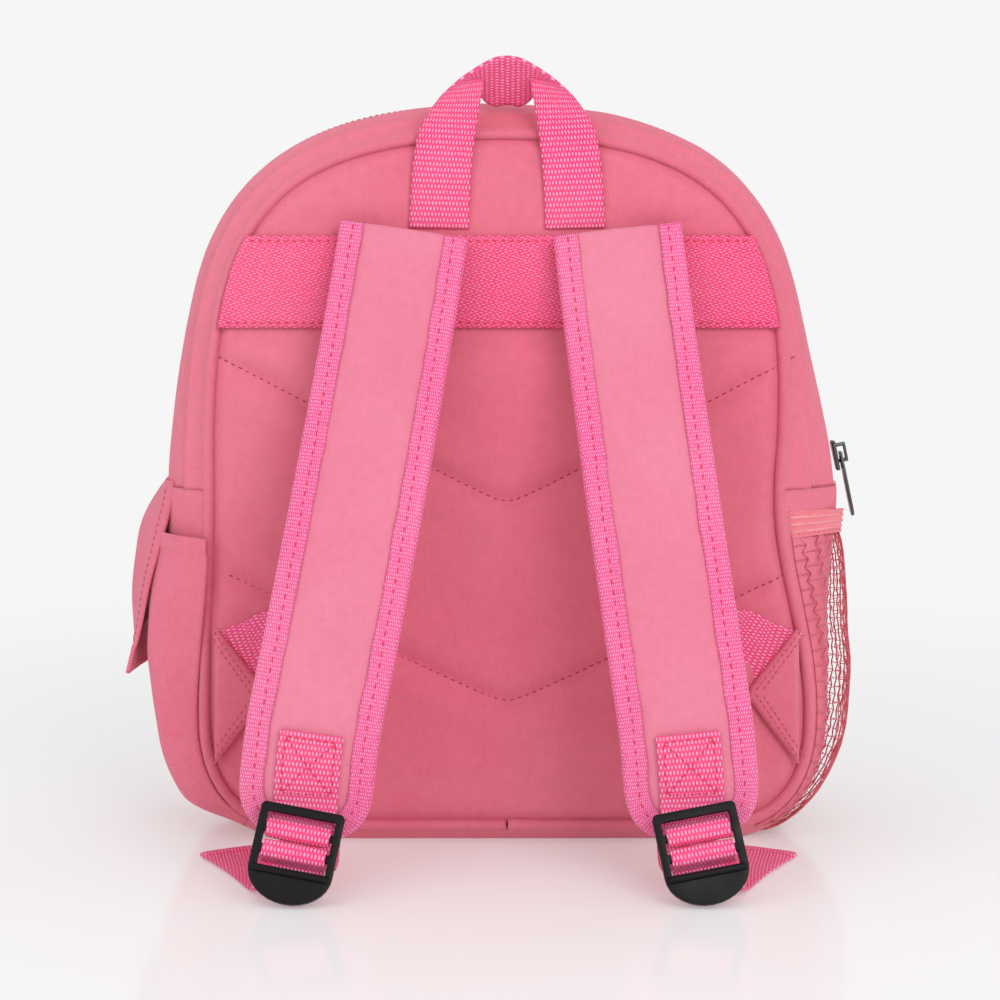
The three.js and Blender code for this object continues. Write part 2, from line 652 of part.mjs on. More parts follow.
function addLowerWebbing(side) {
  const sign = side === "left" ? -1 : 1;
  const end = Math.abs(STRAP_END_X[side]);
  const mirrored = ([x, y, z]) => new THREE.Vector3(sign * x, y, z);
  const lift = HALF_DEPTH + GAP + WEBBING / 2;
  const half = WEBBING_WIDTH / 2;
  const route = [
    [111.4, -lift, 81.5],
    [105, -lift, 84],
    [95, -52, 90],
    [86, -64, 91],
    [end + 3, -78, 76],
    [end + 1, -86, 44],
    [end, -88, 18],
    [end, -98, 7.5],
    [end, -118, 8.5],
  ].map(mirrored);
  const edge = mirrored([-0.59, 0, -0.81]);
  const flat = mirrored([-1, 0, 0]);
  const turns = [edge, edge, mirrored([-0.85, 0, -0.5]), flat, flat, flat];
  const lower = ribbon(route, turns);
  add(`lower_webbing_${side}`, layer(lower, steps(0, 1, 20), [-half, half], [-0.7, 0.7]), WOVEN);
  const tailRoute = [
    [end + 5.5, -131.6, 8.4],
    [end + 7, -128, 3.8],
    [end + 9, -120, 1.7],
    [end + 20, -94, 1.5],
    [end + 36, -64, 1.5],
  ].map(mirrored);
  const tail = ribbon(tailRoute, [X]);
  add(`webbing_tail_${side}`, layer(tail, steps(0, 1, 12), [-half, half], [-0.7, 0.7]), WOVEN);
}

addBackPanel();
addGusset();
addFrontPanel();
addMainSlider();
addFrontPocket();
addLeftPocket();
addRightPocket();
addHandle();
for (const side of ["left", "right"]) {
  addStrap(side);
  addLock(side);
  addLockTab(side);
  addCornerTab(side);
  addLowerWebbing(side);
}

export default backpack;
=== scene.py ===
# %% [markdown]
# # A child's school backpack
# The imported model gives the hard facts: where every panel, strap and slider sits and how it moves.
# This notebook dresses it. Each step first says what the real piece is, how it could be made, and why
# it is made this way. Everything is in metres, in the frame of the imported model: +Z up, X across the
# shoulders, the shoulder straps on the -Y side.

# %% Load the fixed frame
import json
import math

import bmesh
import bpy
from mathutils import Matrix, Vector, noise
from mathutils.bvhtree import BVHTree


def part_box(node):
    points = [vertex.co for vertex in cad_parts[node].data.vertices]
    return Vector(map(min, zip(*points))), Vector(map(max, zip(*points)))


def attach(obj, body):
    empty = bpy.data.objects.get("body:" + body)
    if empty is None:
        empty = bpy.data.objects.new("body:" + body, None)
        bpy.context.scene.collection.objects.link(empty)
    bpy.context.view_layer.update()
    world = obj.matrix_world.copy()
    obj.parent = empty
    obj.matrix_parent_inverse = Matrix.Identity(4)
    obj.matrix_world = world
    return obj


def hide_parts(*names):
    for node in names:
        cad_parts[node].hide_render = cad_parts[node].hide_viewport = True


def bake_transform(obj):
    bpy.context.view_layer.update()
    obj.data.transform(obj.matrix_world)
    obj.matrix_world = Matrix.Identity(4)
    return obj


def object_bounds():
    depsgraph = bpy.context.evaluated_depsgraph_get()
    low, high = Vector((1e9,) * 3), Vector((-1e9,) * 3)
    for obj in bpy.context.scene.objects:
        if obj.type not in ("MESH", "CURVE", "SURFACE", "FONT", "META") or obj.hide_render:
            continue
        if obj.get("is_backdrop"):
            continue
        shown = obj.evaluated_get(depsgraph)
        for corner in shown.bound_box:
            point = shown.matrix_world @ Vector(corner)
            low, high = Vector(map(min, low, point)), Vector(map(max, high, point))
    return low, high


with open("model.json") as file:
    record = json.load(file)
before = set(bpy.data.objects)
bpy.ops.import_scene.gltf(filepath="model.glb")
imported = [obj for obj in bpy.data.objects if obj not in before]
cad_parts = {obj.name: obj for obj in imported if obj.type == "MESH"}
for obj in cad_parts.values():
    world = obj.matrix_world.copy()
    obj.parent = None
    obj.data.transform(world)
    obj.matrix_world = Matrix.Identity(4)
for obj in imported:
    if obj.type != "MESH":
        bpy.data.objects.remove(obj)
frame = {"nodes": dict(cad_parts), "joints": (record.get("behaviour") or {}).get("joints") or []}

cad_low, cad_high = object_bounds()
nodes = frame["nodes"]
joints = {joint["name"]: joint for joint in frame["joints"]}
MM = 0.001
SIDES = {"left": -1, "right": 1}
print(len(nodes), "nodes in a box of", [round(v, 3) for v in cad_high - cad_low])

# %% [markdown]
# ## Camera
# A product picture is taken from a little above the middle with a long lens, so that the bag isn't
# distorted. The camera comes first, because everything after it is judged through it.

# %% Camera
DOWN = 6.9
lens = bpy.data.cameras.new("camera")
lens.sensor_width = 36
lens.lens = 87.1
camera = bpy.data.objects.new("camera", lens)
camera.location = (-2.9 * MM, -1046 * MM, 267.5 * MM)
camera.rotation_euler = (math.radians(90 - DOWN), 0, 0)
bpy.context.collection.objects.link(camera)
bpy.context.scene.camera = camera
print("camera looks down by", DOWN, "degrees")

# %% [markdown]
# ## Short calls for shader nodes
# A material is a small graph. Wiring it by hand takes many lines, so a helper adds a node, sets or
# links its inputs, and gives back the output. It keeps the patterns below readable as arithmetic.


# %% Node helper
class Graph:
    """Adds nodes to one tree. An input is given a number, a colour, or another node's output."""

    def __init__(self, tree):
        self.tree = tree

    def put(self, socket, value):
        if isinstance(value, bpy.types.NodeSocket):
            self.tree.links.new(value, socket)
        else:
            socket.default_value = value

    def node(self, kind, settings=None, **inputs):
        made = self.tree.nodes.new(kind)
        for key, value in (settings or {}).items():
            setattr(made, key, value)
        for key, value in inputs.items():
            self.put(made.inputs[key.replace("_", " ")], value)
        return made

    def math(self, operation, *values):
        made = self.node("ShaderNodeMath", {"operation": operation})
        for socket, value in zip(made.inputs, values):
            self.put(socket, value)
        return made.outputs[0]

    def ramp(self, value, low, high, start=0.0, end=1.0):
        made = self.node("ShaderNodeMapRange", {"interpolation_type": "SMOOTHSTEP"})
        for socket, given in zip(made.inputs, (value, low, high, start, end)):
            self.put(socket, given)
        return made.outputs[0]

    def mix(self, share, first, second, blend_type="MIX"):
        made = self.node("ShaderNodeMix", {"data_type": "RGBA", "blend_type": blend_type})
        for index, given in ((0, share), (6, first), (7, second)):
            self.put(made.inputs[index], given)
        return made.outputs[2]

    def noise(self, vector, scale, detail=2.0):
        made = self.node("ShaderNodeTexNoise", Vector=vector, Scale=scale, Detail=detail)
        return made.outputs["Fac"]


def new_group(name, inputs, outputs):
    """A node group with named sockets, given as (label, kind, default) and (label, kind)."""
    tree = bpy.data.node_groups.new(name, "ShaderNodeTree")
    for label, kind, default in inputs:
        socket = tree.interface.new_socket(label, in_out="INPUT", socket_type=kind)
        if default is not None:
            socket.default_value = default
    for label, kind in outputs:
        tree.interface.new_socket(label, in_out="OUTPUT", socket_type=kind)
    source = tree.nodes.new("NodeGroupInput")
    sink = tree.nodes.new("NodeGroupOutput")
    return tree, Graph(tree), source.outputs, sink.inputs


FLOAT, VECTOR, COLOUR = "NodeSocketFloat", "NodeSocketVector", "NodeSocketColor"

# %% [markdown]
# ## Weaves
# Three cloths cover the bag. The body is an oxford cloth, where threads pass over and under one
# another: a product of two sine waves gives its small bumps, and it also paints shade between the
# threads as a darker colour. Webbing and binding tape are coarser: shiny thread ends stand in rows,
# which run straight on the handle and in zigzags on the yoke, and their highlights are painted into
# the colour as pale dashes. An image could hold them, but a formula in metres keeps every thread the
# same size on every piece.

# %% Weave groups
oxford, g, have, give = new_group(
    "oxford_weave",
    [("Vector", VECTOR, None), ("Pitch", FLOAT, 0.0008), ("Wobble", FLOAT, 0.25)],
    [("Height", FLOAT), ("Slub", FLOAT)],
)
across = g.node("ShaderNodeSeparateXYZ", Vector=have["Vector"]).outputs
turns = g.math("DIVIDE", 2 * math.pi, have["Pitch"])
drift = g.math("MULTIPLY", g.noise(have["Vector"], 90.0), g.math("MULTIPLY", have["Wobble"], 6.0))
waves = [g.math("SINE", g.math("ADD", g.math("MULTIPLY", across[i], turns), drift)) for i in (0, 1)]
g.put(give["Height"], g.math("MULTIPLY_ADD", g.math("MULTIPLY", *waves), 0.5, 0.5))
stretched = g.node("ShaderNodeVectorMath", {"operation": "MULTIPLY"})
g.put(stretched.inputs[0], have["Vector"])
stretched.inputs[1].default_value = (1.0, 0.12, 1.0)
g.put(give["Slub"], g.noise(stretched.outputs[0], 900.0, 1.0))

ribbon, g, have, give = new_group(
    "ribbon_weave",
    [
        ("Vector", VECTOR, None),
        ("Along", FLOAT, 0.0023),
        ("Across", FLOAT, 0.0015),
        ("Zigzag", FLOAT, 0.0),
        ("Column", FLOAT, 0.0022),
    ],
    [("Glint", FLOAT), ("Height", FLOAT)],
)
across = g.node("ShaderNodeSeparateXYZ", Vector=have["Vector"]).outputs
column = g.math("DIVIDE", g.math("PINGPONG", across[1], have["Column"]), have["Column"])
row = g.math("MULTIPLY_ADD", column, have["Zigzag"], g.math("DIVIDE", across[0], have["Along"]))
odd = g.math("MULTIPLY", g.math("FLOORED_MODULO", g.math("FLOOR", row), 2.0), 0.5)
place = g.math("ADD", g.math("DIVIDE", across[1], have["Across"]), odd)
from_middle = [g.math("SUBTRACT", g.math("FRACT", value), 0.5) for value in (row, place)]
squares = [g.math("MULTIPLY", value, value) for value in from_middle]
reach = g.math("SQRT", g.math("MULTIPLY_ADD", squares[1], 1.7, squares[0]))
# Glint is a painted highlight: pale dashes where the thread ends would catch the light, some brighter than
# others.
bright = g.ramp(g.noise(have["Vector"], 900.0, 1.0), 0.3, 0.6, 0.45, 1.0)
g.put(give["Glint"], g.math("MULTIPLY", g.ramp(reach, 0.18, 0.52, 1.0, 0.0), bright))
g.put(give["Height"], g.ramp(reach, 0.1, 0.52, 1.0, 0.0))

# %% [markdown]
# Cloth is never one colour. Handling leaves it a little paler in broad patches, and a fine noise makes
# its tone a little lighter or darker here and there. One group mixes that in for every cloth and webbing,
# with a strength that can be set on each.

# %% Handling group
handled, g, have, give = new_group(
    "handled_cloth",
    [("Colour", COLOUR, None), ("Amount", FLOAT, 0.05)],
    [("Colour", COLOUR)],
)
here = g.node("ShaderNodeTexCoord").outputs["Object"]
patches = g.ramp(g.noise(here, 14.0, 4.0), 0.35, 0.7)
paler = g.mix(g.math("MULTIPLY", patches, have["Amount"]), have["Colour"], (1, 0.78, 0.82, 1))
fine = g.ramp(g.noise(here, 260.0, 3.0), 0.25, 0.75, 0.97, 1.03)
grey = g.node("ShaderNodeCombineColor", Red=fine, Green=fine, Blue=fine).outputs[0]
g.put(give["Colour"], g.mix(1.0, paler, grey, "MULTIPLY"))
print("node groups:", [group.name for group in bpy.data.node_groups])


# %% [markdown]
# ## Finishes
# A finish is the weave that drives colour and bump, with the sheen and roughness set on the shader.
# The colours are those of pink polyester: coral on the body, cooler on the straps, and a hot pink
# webbing whose thread ends catch the light almost white; that highlight is painted into its colour.


# %% Cloth and webbing materials
def srgb(red, green, blue):
    def linear(value):
        value /= 255
        return value / 12.92 if value <= 0.04045 else ((value + 0.055) / 1.055) ** 2.4

    return (linear(red), linear(green), linear(blue), 1.0)


def new_material(name):
    made = bpy.data.materials.new(name)
    made.use_nodes = True
    graph = Graph(made.node_tree)
    return made, graph, made.node_tree.nodes["Principled BSDF"]


def use_group(graph, tree, **inputs):
    return graph.node("ShaderNodeGroup", {"node_tree": tree}, **inputs).outputs


def cloth(name, thread, gap, pitch=0.85 * MM, bump=0.16 * MM, rough=0.8, sheen=0.25, by_place=False):
    made, g, shader = new_material(name)
    if by_place:
        at = g.node("ShaderNodeSeparateXYZ", Vector=g.node("ShaderNodeTexCoord").outputs["Object"])
        flat = g.math("ADD", at.outputs[0], at.outputs[1])
        where = g.node("ShaderNodeCombineXYZ", X=flat, Y=at.outputs[2]).outputs[0]
    else:
        where = g.node("ShaderNodeUVMap", {"uv_map": "UVMap"}).outputs[0]
    weave = use_group(g, oxford, Vector=where, Pitch=pitch)
    # Painted shade: the darker gap colour fills the low places of the weave, between the threads, on top of
    # the real bump.
    woven = g.mix(g.ramp(weave["Height"], 0.1, 0.85), gap, thread)
    slubbed = g.mix(g.ramp(weave["Slub"], 0.55, 0.8, 0.0, 0.25), woven, gap)
    g.put(shader.inputs["Base Color"], use_group(g, handled, Colour=slubbed)["Colour"])
    shader.inputs["Roughness"].default_value = rough
    shader.inputs["Specular IOR Level"].default_value = 0.3
    shader.inputs["Sheen Weight"].default_value = sheen
    shader.inputs["Sheen Roughness"].default_value = 0.4
    shader.inputs["Sheen Tint"].default_value = (1.0, 0.8, 0.85, 1.0)
    lift = g.node("ShaderNodeBump", Height=weave["Height"], Distance=bump, Strength=0.8)
    g.put(shader.inputs["Normal"], lift.outputs[0])
    return made


def webbing(name, deep, pale, along, across, zigzag=0.0, column=2.1 * MM, bump=0.35 * MM):
    made, g, shader = new_material(name)
    where = g.node("ShaderNodeUVMap", {"uv_map": "UVMap"}).outputs[0]
    weave = use_group(
        g, ribbon, Vector=where, Along=along, Across=across, Zigzag=zigzag, Column=column
    )
    # Painted highlight: the pale colour shows where the thread ends would catch the light.
    woven = g.mix(weave["Glint"], deep, pale)
    g.put(shader.inputs["Base Color"], use_group(g, handled, Colour=woven, Amount=0.05)["Colour"])
    shader.inputs["Roughness"].default_value = 0.5
    shader.inputs["Specular IOR Level"].default_value = 0.45
    shader.inputs["Sheen Weight"].default_value = 0.15
    shader.inputs["Sheen Tint"].default_value = (1.0, 0.7, 0.85, 1.0)
    lift = g.node("ShaderNodeBump", Height=weave["Height"], Distance=bump, Strength=0.8)
    g.put(shader.inputs["Normal"], lift.outputs[0])
    return made


# HOT is the webbing's own hot pink; GLINT is a painted highlight, the near-white of thread ends where they
# catch the light.
HOT, GLINT = srgb(233, 42, 114), srgb(247, 172, 206)
# The darker second colour of each cloth is its weave, with painted shade between the threads.
BODY = cloth("body_cloth", srgb(235, 124, 147), srgb(206, 86, 112))
GUSSET = cloth("gusset_cloth", srgb(234, 126, 146), srgb(208, 88, 114))
STRAP = cloth("strap_cloth", srgb(230, 133, 158), srgb(212, 104, 132), pitch=0.7 * MM, bump=0.08 * MM)
LINING = cloth("lining", srgb(206, 120, 140), srgb(170, 84, 104), pitch=0.6 * MM, by_place=True)
BOARD = cloth("board", srgb(226, 222, 214), srgb(208, 203, 194), pitch=2.4 * MM, by_place=True)
TAPE = cloth("zip_tape", srgb(216, 84, 116), srgb(170, 48, 80), pitch=1.1 * MM)
HOOKS = cloth("hook_and_loop", srgb(222, 92, 128), srgb(150, 36, 70), pitch=1.5 * MM, bump=0.6 * MM)
# The second colour of each webbing is a painted highlight on its thread ends; on the elastic it lightens the
# crowns of its real ribs.
HANDLE = webbing("handle_webbing", HOT, GLINT, 2.3 * MM, 1.45 * MM)
YOKE = webbing("yoke_webbing", srgb(235, 36, 104), srgb(242, 152, 190), 2.0 * MM, 1.1 * MM, zigzag=1.0)
BINDING = webbing("binding_tape", srgb(233, 66, 136), GLINT, 1.5 * MM, 0.95 * MM, bump=0.3 * MM)
ELASTIC = webbing("elastic", srgb(226, 112, 126), srgb(240, 150, 158), 1.7 * MM, 60 * MM)
print(len(bpy.data.materials), "materials so far")

# %% [markdown]
# Thread, moulded plastic, plated metal and knitted net are not flat weaves. Thread is a soft sheen,
# plastic has the faint pebble of its mould, and metal is darkened plating with fine rub marks.


# %% Thread, plastic and metal materials
def plain(name, colour, rough, metallic=0.0, grain=900.0, bump=0.02 * MM, vary=0.15, sheen=0.0, gloss=0.5):
    made, g, shader = new_material(name)
    here = g.node("ShaderNodeTexCoord").outputs["Object"]
    speckle = g.noise(here, grain, 3.0)
    dark = tuple(v * (1 - vary) for v in colour[:3]) + (1.0,)
    g.put(shader.inputs["Base Color"], g.mix(speckle, dark, colour))
    g.put(shader.inputs["Roughness"], g.ramp(g.noise(here, 120.0, 4.0), 0.3, 0.7, rough - 0.05, rough + 0.1))
    shader.inputs["Metallic"].default_value = metallic
    shader.inputs["Specular IOR Level"].default_value = gloss
    shader.inputs["Sheen Weight"].default_value = sheen
    g.put(shader.inputs["Normal"], g.node("ShaderNodeBump", Height=speckle, Distance=bump).outputs[0])
    return made


THREAD = plain("tonal_thread", srgb(170, 40, 62), 0.6, sheen=0.1)
TONAL = plain("soft_thread", srgb(206, 76, 104), 0.6, sheen=0.2)
RED_THREAD = plain("red_thread", srgb(226, 36, 70), 0.55, sheen=0.2)
NET = plain("net_yarn", srgb(228, 98, 114), 0.6, vary=0.3, sheen=0.2)
PLASTIC = plain("black_plastic", srgb(12, 8, 9), 0.4, grain=600.0, gloss=0.2)
GUNMETAL = plain("gunmetal", srgb(96, 96, 100), 0.3, metallic=1.0, grain=400.0)
COIL = plain("zip_coil", srgb(226, 96, 128), 0.4)
print(len(bpy.data.materials), "materials in all")

# %% [markdown]
# ## Shape helpers
# Cloth, tape and padding are all grids in disguise. One helper makes a flat grid with bmesh, moves
# each corner to its place, and keeps the real distances along and across it as the UV map, so that
# a weave measured in metres lies right on every piece. A grid that closes on itself is a tube.


# %% Grid and piece helpers
def formed(columns, rows, place, closed=False, capped=False):
    """A grid moved to place(u, v) = (point, (along, across)); closed joins its sides into a tube."""
    bm = bmesh.new()
    bmesh.ops.create_grid(bm, x_segments=columns, y_segments=rows, size=1.0)
    uv = bm.loops.layers.uv.new("UVMap")
    spots = {}
    for vert in bm.verts:
        u, v = vert.co.x * 0.5 + 0.5, vert.co.y * 0.5 + 0.5
        spots[vert.index] = place(min(1, max(0, u)), min(1, max(0, v)))
    for face in bm.faces:
        for loop in face.loops:
            loop[uv].uv = spots[loop.vert.index][1]
    for vert in bm.verts:
        vert.co = spots[vert.index][0]
    if closed:
        bmesh.ops.remove_doubles(bm, verts=bm.verts, dist=1e-6)
    if capped:
        bmesh.ops.holes_fill(bm, edges=[e for e in bm.edges if e.is_boundary], sides=0)
    if closed:
        bmesh.ops.recalc_face_normals(bm, faces=bm.faces)
    return bm


def face_away(bm, centre=Vector((0, 0, 0.15))):
    """Turns an open sheet so that its faces point away from the middle of the bag."""
    leaning = sum((f.calc_center_median() - centre).dot(f.normal) * f.calc_area() for f in bm.faces)
    if leaning < 0:
        bmesh.ops.reverse_faces(bm, faces=bm.faces)
    return bm


def piece(name, bm, finish, body, stands_for=(), thick=0.0, lean=-1.0):
    """Links a finished mesh; a body name makes it ride on that body. A tuple (body, body, start, end) is not
    used.
    """
    mesh = bpy.data.meshes.new(name)
    bm.normal_update()
    bm.to_mesh(mesh)
    bm.free()
    mesh.materials.append(finish)
    mesh.polygons.foreach_set("use_smooth", [True] * len(mesh.polygons))
    made = bpy.data.objects.new(name, mesh)
    bpy.context.collection.objects.link(made)
    if thick:
        wall = made.modifiers.new("thickness", "SOLIDIFY")
        wall.thickness = thick
        wall.offset = lean
    if isinstance(body, str):
        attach(made, body)
    else:
        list(body)
        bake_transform(made)
    if stands_for:
        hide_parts(*([stands_for] if isinstance(stands_for, str) else stands_for))
    print(f"{name}: {len(mesh.polygons)} faces")
    return made


def smooth_line(points, count, closed=False):
    """count points, evenly spaced, on a smooth line through the given points."""
    points = [Vector(p) for p in points]
    if closed:
        ends = [points[-1], *points, points[0], points[1]]
    else:
        ends = [2 * points[0] - points[1], *points, 2 * points[-1] - points[-2]]
    fine = []
    steps = 10
    for a, b, c, d in zip(ends, ends[1:], ends[2:], ends[3:]):
        for k in range(steps):
            t = k / steps
            bend = (2 * a - 5 * b + 4 * c - d) * t * t + (3 * b - a - 3 * c + d) * t**3
            fine.append(0.5 * (2 * b + (c - a) * t + bend))
    fine.append(points[0] if closed else points[-1])
    run = [0.0]
    for a, b in zip(fine, fine[1:]):
        run.append(run[-1] + (b - a).length)
    out, k = [], 0
    for i in range(count):
        want = run[-1] * i / (count if closed else count - 1)
        while k < len(run) - 2 and run[k + 1] < want:
            k += 1
        gap = run[k + 1] - run[k]
        out.append(fine[k].lerp(fine[k + 1], (want - run[k]) / gap if gap else 0.0))
    return out


def length_of(line):
    return sum((b - a).length for a, b in zip(line, line[1:]))


# %% [markdown]
# ## Stitches
# Sewing is what makes a bag read as a bag. A stitch is a short bead of thread that sinks at both
# ends. Each row is one mesh of small beads laid along a line, each turned to follow it, so the row
# has real relief and still costs little.


# %% Stitch helper
def sew(bm, line, outward, pitch=3.0 * MM, thick=0.5 * MM, share=0.68, swing=0.0):
    """Adds beads of thread along a line. outward is one direction, or a function of the point."""
    total = length_of(line)
    count = max(1, round(total / pitch))
    spots = smooth_line(line, 2 * count + 1) if len(line) > 2 else None
    for k in range(count):
        if spots:
            middle, ahead = spots[2 * k + 1], spots[2 * k + 2] - spots[2 * k]
        else:
            middle, ahead = line[0].lerp(line[1], (k + 0.5) / count), line[1] - line[0]
        up = (outward(middle) if callable(outward) else Vector(outward)).normalized()
        ahead = ahead.normalized()
        side = up.cross(ahead).normalized()
        turn = swing * (1 if k % 2 else -1)
        along = ahead * math.cos(turn) + side * math.sin(turn)
        side = up.cross(along)
        half = pitch * share / 2
        axes = Matrix((along * half, side * thick / 2, up * thick / 2)).transposed().to_4x4()
        bmesh.ops.create_icosphere(
            bm, subdivisions=1, radius=1.0, matrix=Matrix.Translation(middle) @ axes
        )


def sewn_piece(name, bm, finish, body):
    return piece(name, bm, finish, body)


# %% [markdown]
# ## The seam line
# Panels, piping and gusset all meet on one closed line round the bag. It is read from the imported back
# panel: the corners of its face, in order round the middle, moved out by the width of the piping.

# %% Seam line
panel_low, panel_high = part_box("back_panel_cover")
piping_low, piping_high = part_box("back_piping")
PIPING = (piping_high.y - piping_low.y) / 2
SEAM_OUT = panel_low.x - piping_low.x
BACK = panel_low.y
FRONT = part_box("front_panel_lower")[1].y
MIDDLE = Vector((0, 0, (panel_low.z + panel_high.z) / 2))


def corners(node):
    """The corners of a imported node, each once."""
    return {tuple(round(c, 6) for c in vert.co) for vert in nodes[node].data.vertices}


def turn_from_base(point):
    """The angle round the bag, from the middle of its base towards -X."""
    return math.atan2(-point[0], MIDDLE.z - point[2]) % (2 * math.pi)


face_corners = sorted((c for c in corners("back_panel_cover") if c[1] < BACK + 1e-5), key=turn_from_base)
panel_line = smooth_line([(x, 0, z) for x, _, z in face_corners], 720, closed=True)
LOOP = len(panel_line)


def outward_at(i):
    ahead = panel_line[(i + 4) % LOOP] - panel_line[(i - 4) % LOOP]
    return Vector((-ahead.z, 0, ahead.x)).normalized()


out_of = [outward_at(i) for i in range(LOOP)]
seam_line = [point + out * SEAM_OUT for point, out in zip(panel_line, out_of)]
SEAM_LENGTH = length_of([*seam_line, seam_line[0]])


def seam(t, out=0.0, y=0.0):
    """The point a share t round the seam, moved outwards, at depth y."""
    place = (t % 1.0) * LOOP
    i = int(place) % LOOP
    j = (i + 1) % LOOP
    share = place - int(place)
    normal = out_of[i].lerp(out_of[j], share).normalized()
    return seam_line[i].lerp(seam_line[j], share) + normal * out + Vector((0, y, 0))


def seam_out(t):
    return out_of[int((t % 1.0) * LOOP) % LOOP]


def share_at(z, side):
    """The share of the seam line at a height, on the left or the right."""
    half = range(LOOP // 2) if side == "left" else range(LOOP // 2, LOOP)
    return min(half, key=lambda i: abs(seam_line[i].z - z)) / LOOP


def heading_out(point):
    """Outwards from the seam line at the place nearest to a point."""
    def away(i):
        return (seam_line[i].x - point.x) ** 2 + (seam_line[i].z - point.z) ** 2

    return out_of[min(range(0, LOOP, 6), key=away)]


print("the seam is", round(SEAM_LENGTH, 3), "m long")

# %% [markdown]
# ## The gusset's surface
# The gusset swells out between its two seams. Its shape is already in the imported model, in facets, so
# rays are cast at it from outside and the heights they find are smoothed. Anything sewn to the gusset
# can then ask how far out the cloth lies at a place.

# %% Gusset surface
GUSSET_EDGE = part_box("lower_gusset")[1].y
ZIP_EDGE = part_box("zip_gusset_front")[0].y
DEPTHS = [-1.0 + k / 8 for k in range(17)]


def surface_of(*names):
    bm = bmesh.new()
    for name in names:
        bm.from_mesh(nodes[name].data)
    tree = BVHTree.FromBMesh(bm)
    bm.free()
    return tree


def height_over_seam(tree, t, y, far=0.06):
    """How far outside the seam line a ray from outside meets a surface, or None."""
    start = seam(t, far, y)
    hit = tree.ray_cast(start, -seam_out(t), 2 * far)
    return far - hit[3] if hit[0] else None


gusset_tree = surface_of("lower_gusset", "zip_gusset_rear", "zip_gusset_front")
STEPS = 180
swell = []
for i in range(STEPS):
    row = []
    for depth in DEPTHS:
        y = depth * (GUSSET_EDGE - 0.3 * MM)
        if abs(y) < ZIP_EDGE + 1 * MM:
            y = math.copysign(ZIP_EDGE + 1 * MM, y or 1)
        found = height_over_seam(gusset_tree, i / STEPS, y)
        row.append(found if found is not None else (swell[-1][len(row)] if swell else 0.0))
    swell.append(row)
for _ in range(3):
    swell = [
        [(swell[i - 1][k] + 2 * swell[i][k] + swell[(i + 1) % STEPS][k]) / 4 for k in range(len(DEPTHS))]
        for i in range(STEPS)
    ]


def swell_at(t, y):
    place, deep = (t % 1.0) * STEPS, (min(1, max(-1, y / GUSSET_EDGE)) + 1) * 8
    i, k = int(place) % STEPS, min(15, int(deep))
    a = swell[i][k] + (swell[i][k + 1] - swell[i][k]) * (deep - k)
    j = (i + 1) % STEPS
    b = swell[j][k] + (swell[j][k + 1] - swell[j][k]) * (deep - k)
    return a + (b - a) * (place - int(place))


def on_gusset(t, y, lift=0.0):
    return seam(t, swell_at(t, y) + lift, y)


print("the gusset swells by up to", round(max(map(max, swell)) / MM, 1), "mm")

# %% [markdown]
# ## The gusset cloth
# Real cloth over a soft load isn't smooth: it dips between the places that hold it, and it puckers
# at a seam. Noise along the seam makes the puckers, fading away from the stitching, and broad noise
# makes the dents. The rear strip is folded back on itself along a ridge before it reaches the zip.

# %% Gusset pieces
FOLD_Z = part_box("front_panel_lower")[1].z
RIDGE_Y = BACK + 9 * MM
RIDGE_RISE = 1.9 * MM


def pucker(point, seam_distance, amount=0.5 * MM):
    """Small folds across a seam, which fade with the distance from it, on top of broad dents."""
    near = math.exp(-seam_distance / (7 * MM))
    small = noise.noise(point * 230) * near
    broad = noise.noise(point * 28)
    return amount * (small + 1.6 * broad * (1 - near))


def gusset_strip(name, ends, depths, body, stands_for, finish=GUSSET, ridge=False, columns=220, rows=22):
    start, end = ends
    low, high = depths

    def place(u, v):
        t = start + (end - start) * u
        y = low + (high - low) * v
        from_seam = min(abs(y - low), abs(y - high))
        base = on_gusset(t, y)
        lift = pucker(base, from_seam)
        if ridge:
            step = 1 / (1 + math.exp((y - RIDGE_Y) / (0.5 * MM)))
            crest = math.exp(-(((y - RIDGE_Y) / (1.3 * MM)) ** 2))
            lift += step * 0.9 * MM + crest * RIDGE_RISE
        lift -= max(0.0, abs(y) - GUSSET_EDGE) * 0.9
        return on_gusset(t, y, lift), (t * SEAM_LENGTH, y)

    bm = face_away(formed(columns, rows, place))
    made = piece(name, bm, finish, body, stands_for, thick=1.1 * MM)
    return made


LEFT_FOLD, RIGHT_FOLD = share_at(FOLD_Z, "left"), share_at(FOLD_Z, "right")
arch = (LEFT_FOLD, RIGHT_FOLD)
EDGE = GUSSET_EDGE + 2.6 * MM
gusset_strip("rear_gusset", arch, (-EDGE, -ZIP_EDGE), "bag", "zip_gusset_rear", ridge=True, rows=40)
gusset_strip("front_gusset", arch, (ZIP_EDGE, EDGE), "front_flap", "zip_gusset_front")
gusset_strip("base_gusset", (RIGHT_FOLD - 1, LEFT_FOLD), (-EDGE, EDGE), "bag", "lower_gusset", rows=44)
for side, share in (("left", LEFT_FOLD), ("right", RIGHT_FOLD)):
    low, high = (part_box(f"zip_end_{side}")[k].z for k in (0, 1))
    ends = sorted((share_at(low, side), share_at(high, side)))
    gusset_strip(
        f"zip_end_cloth_{side}", ends, (-ZIP_EDGE, ZIP_EDGE), "bag", f"zip_end_{side}", columns=12, rows=10
    )

# %% [markdown]
# ## Zip
# The teeth of a bag's zip are one plastic coil sewn to a woven tape. Modelled turn by turn it would be
# heavy, so each turn is a flattened bead of a few faces, in two rows that mesh along the middle.


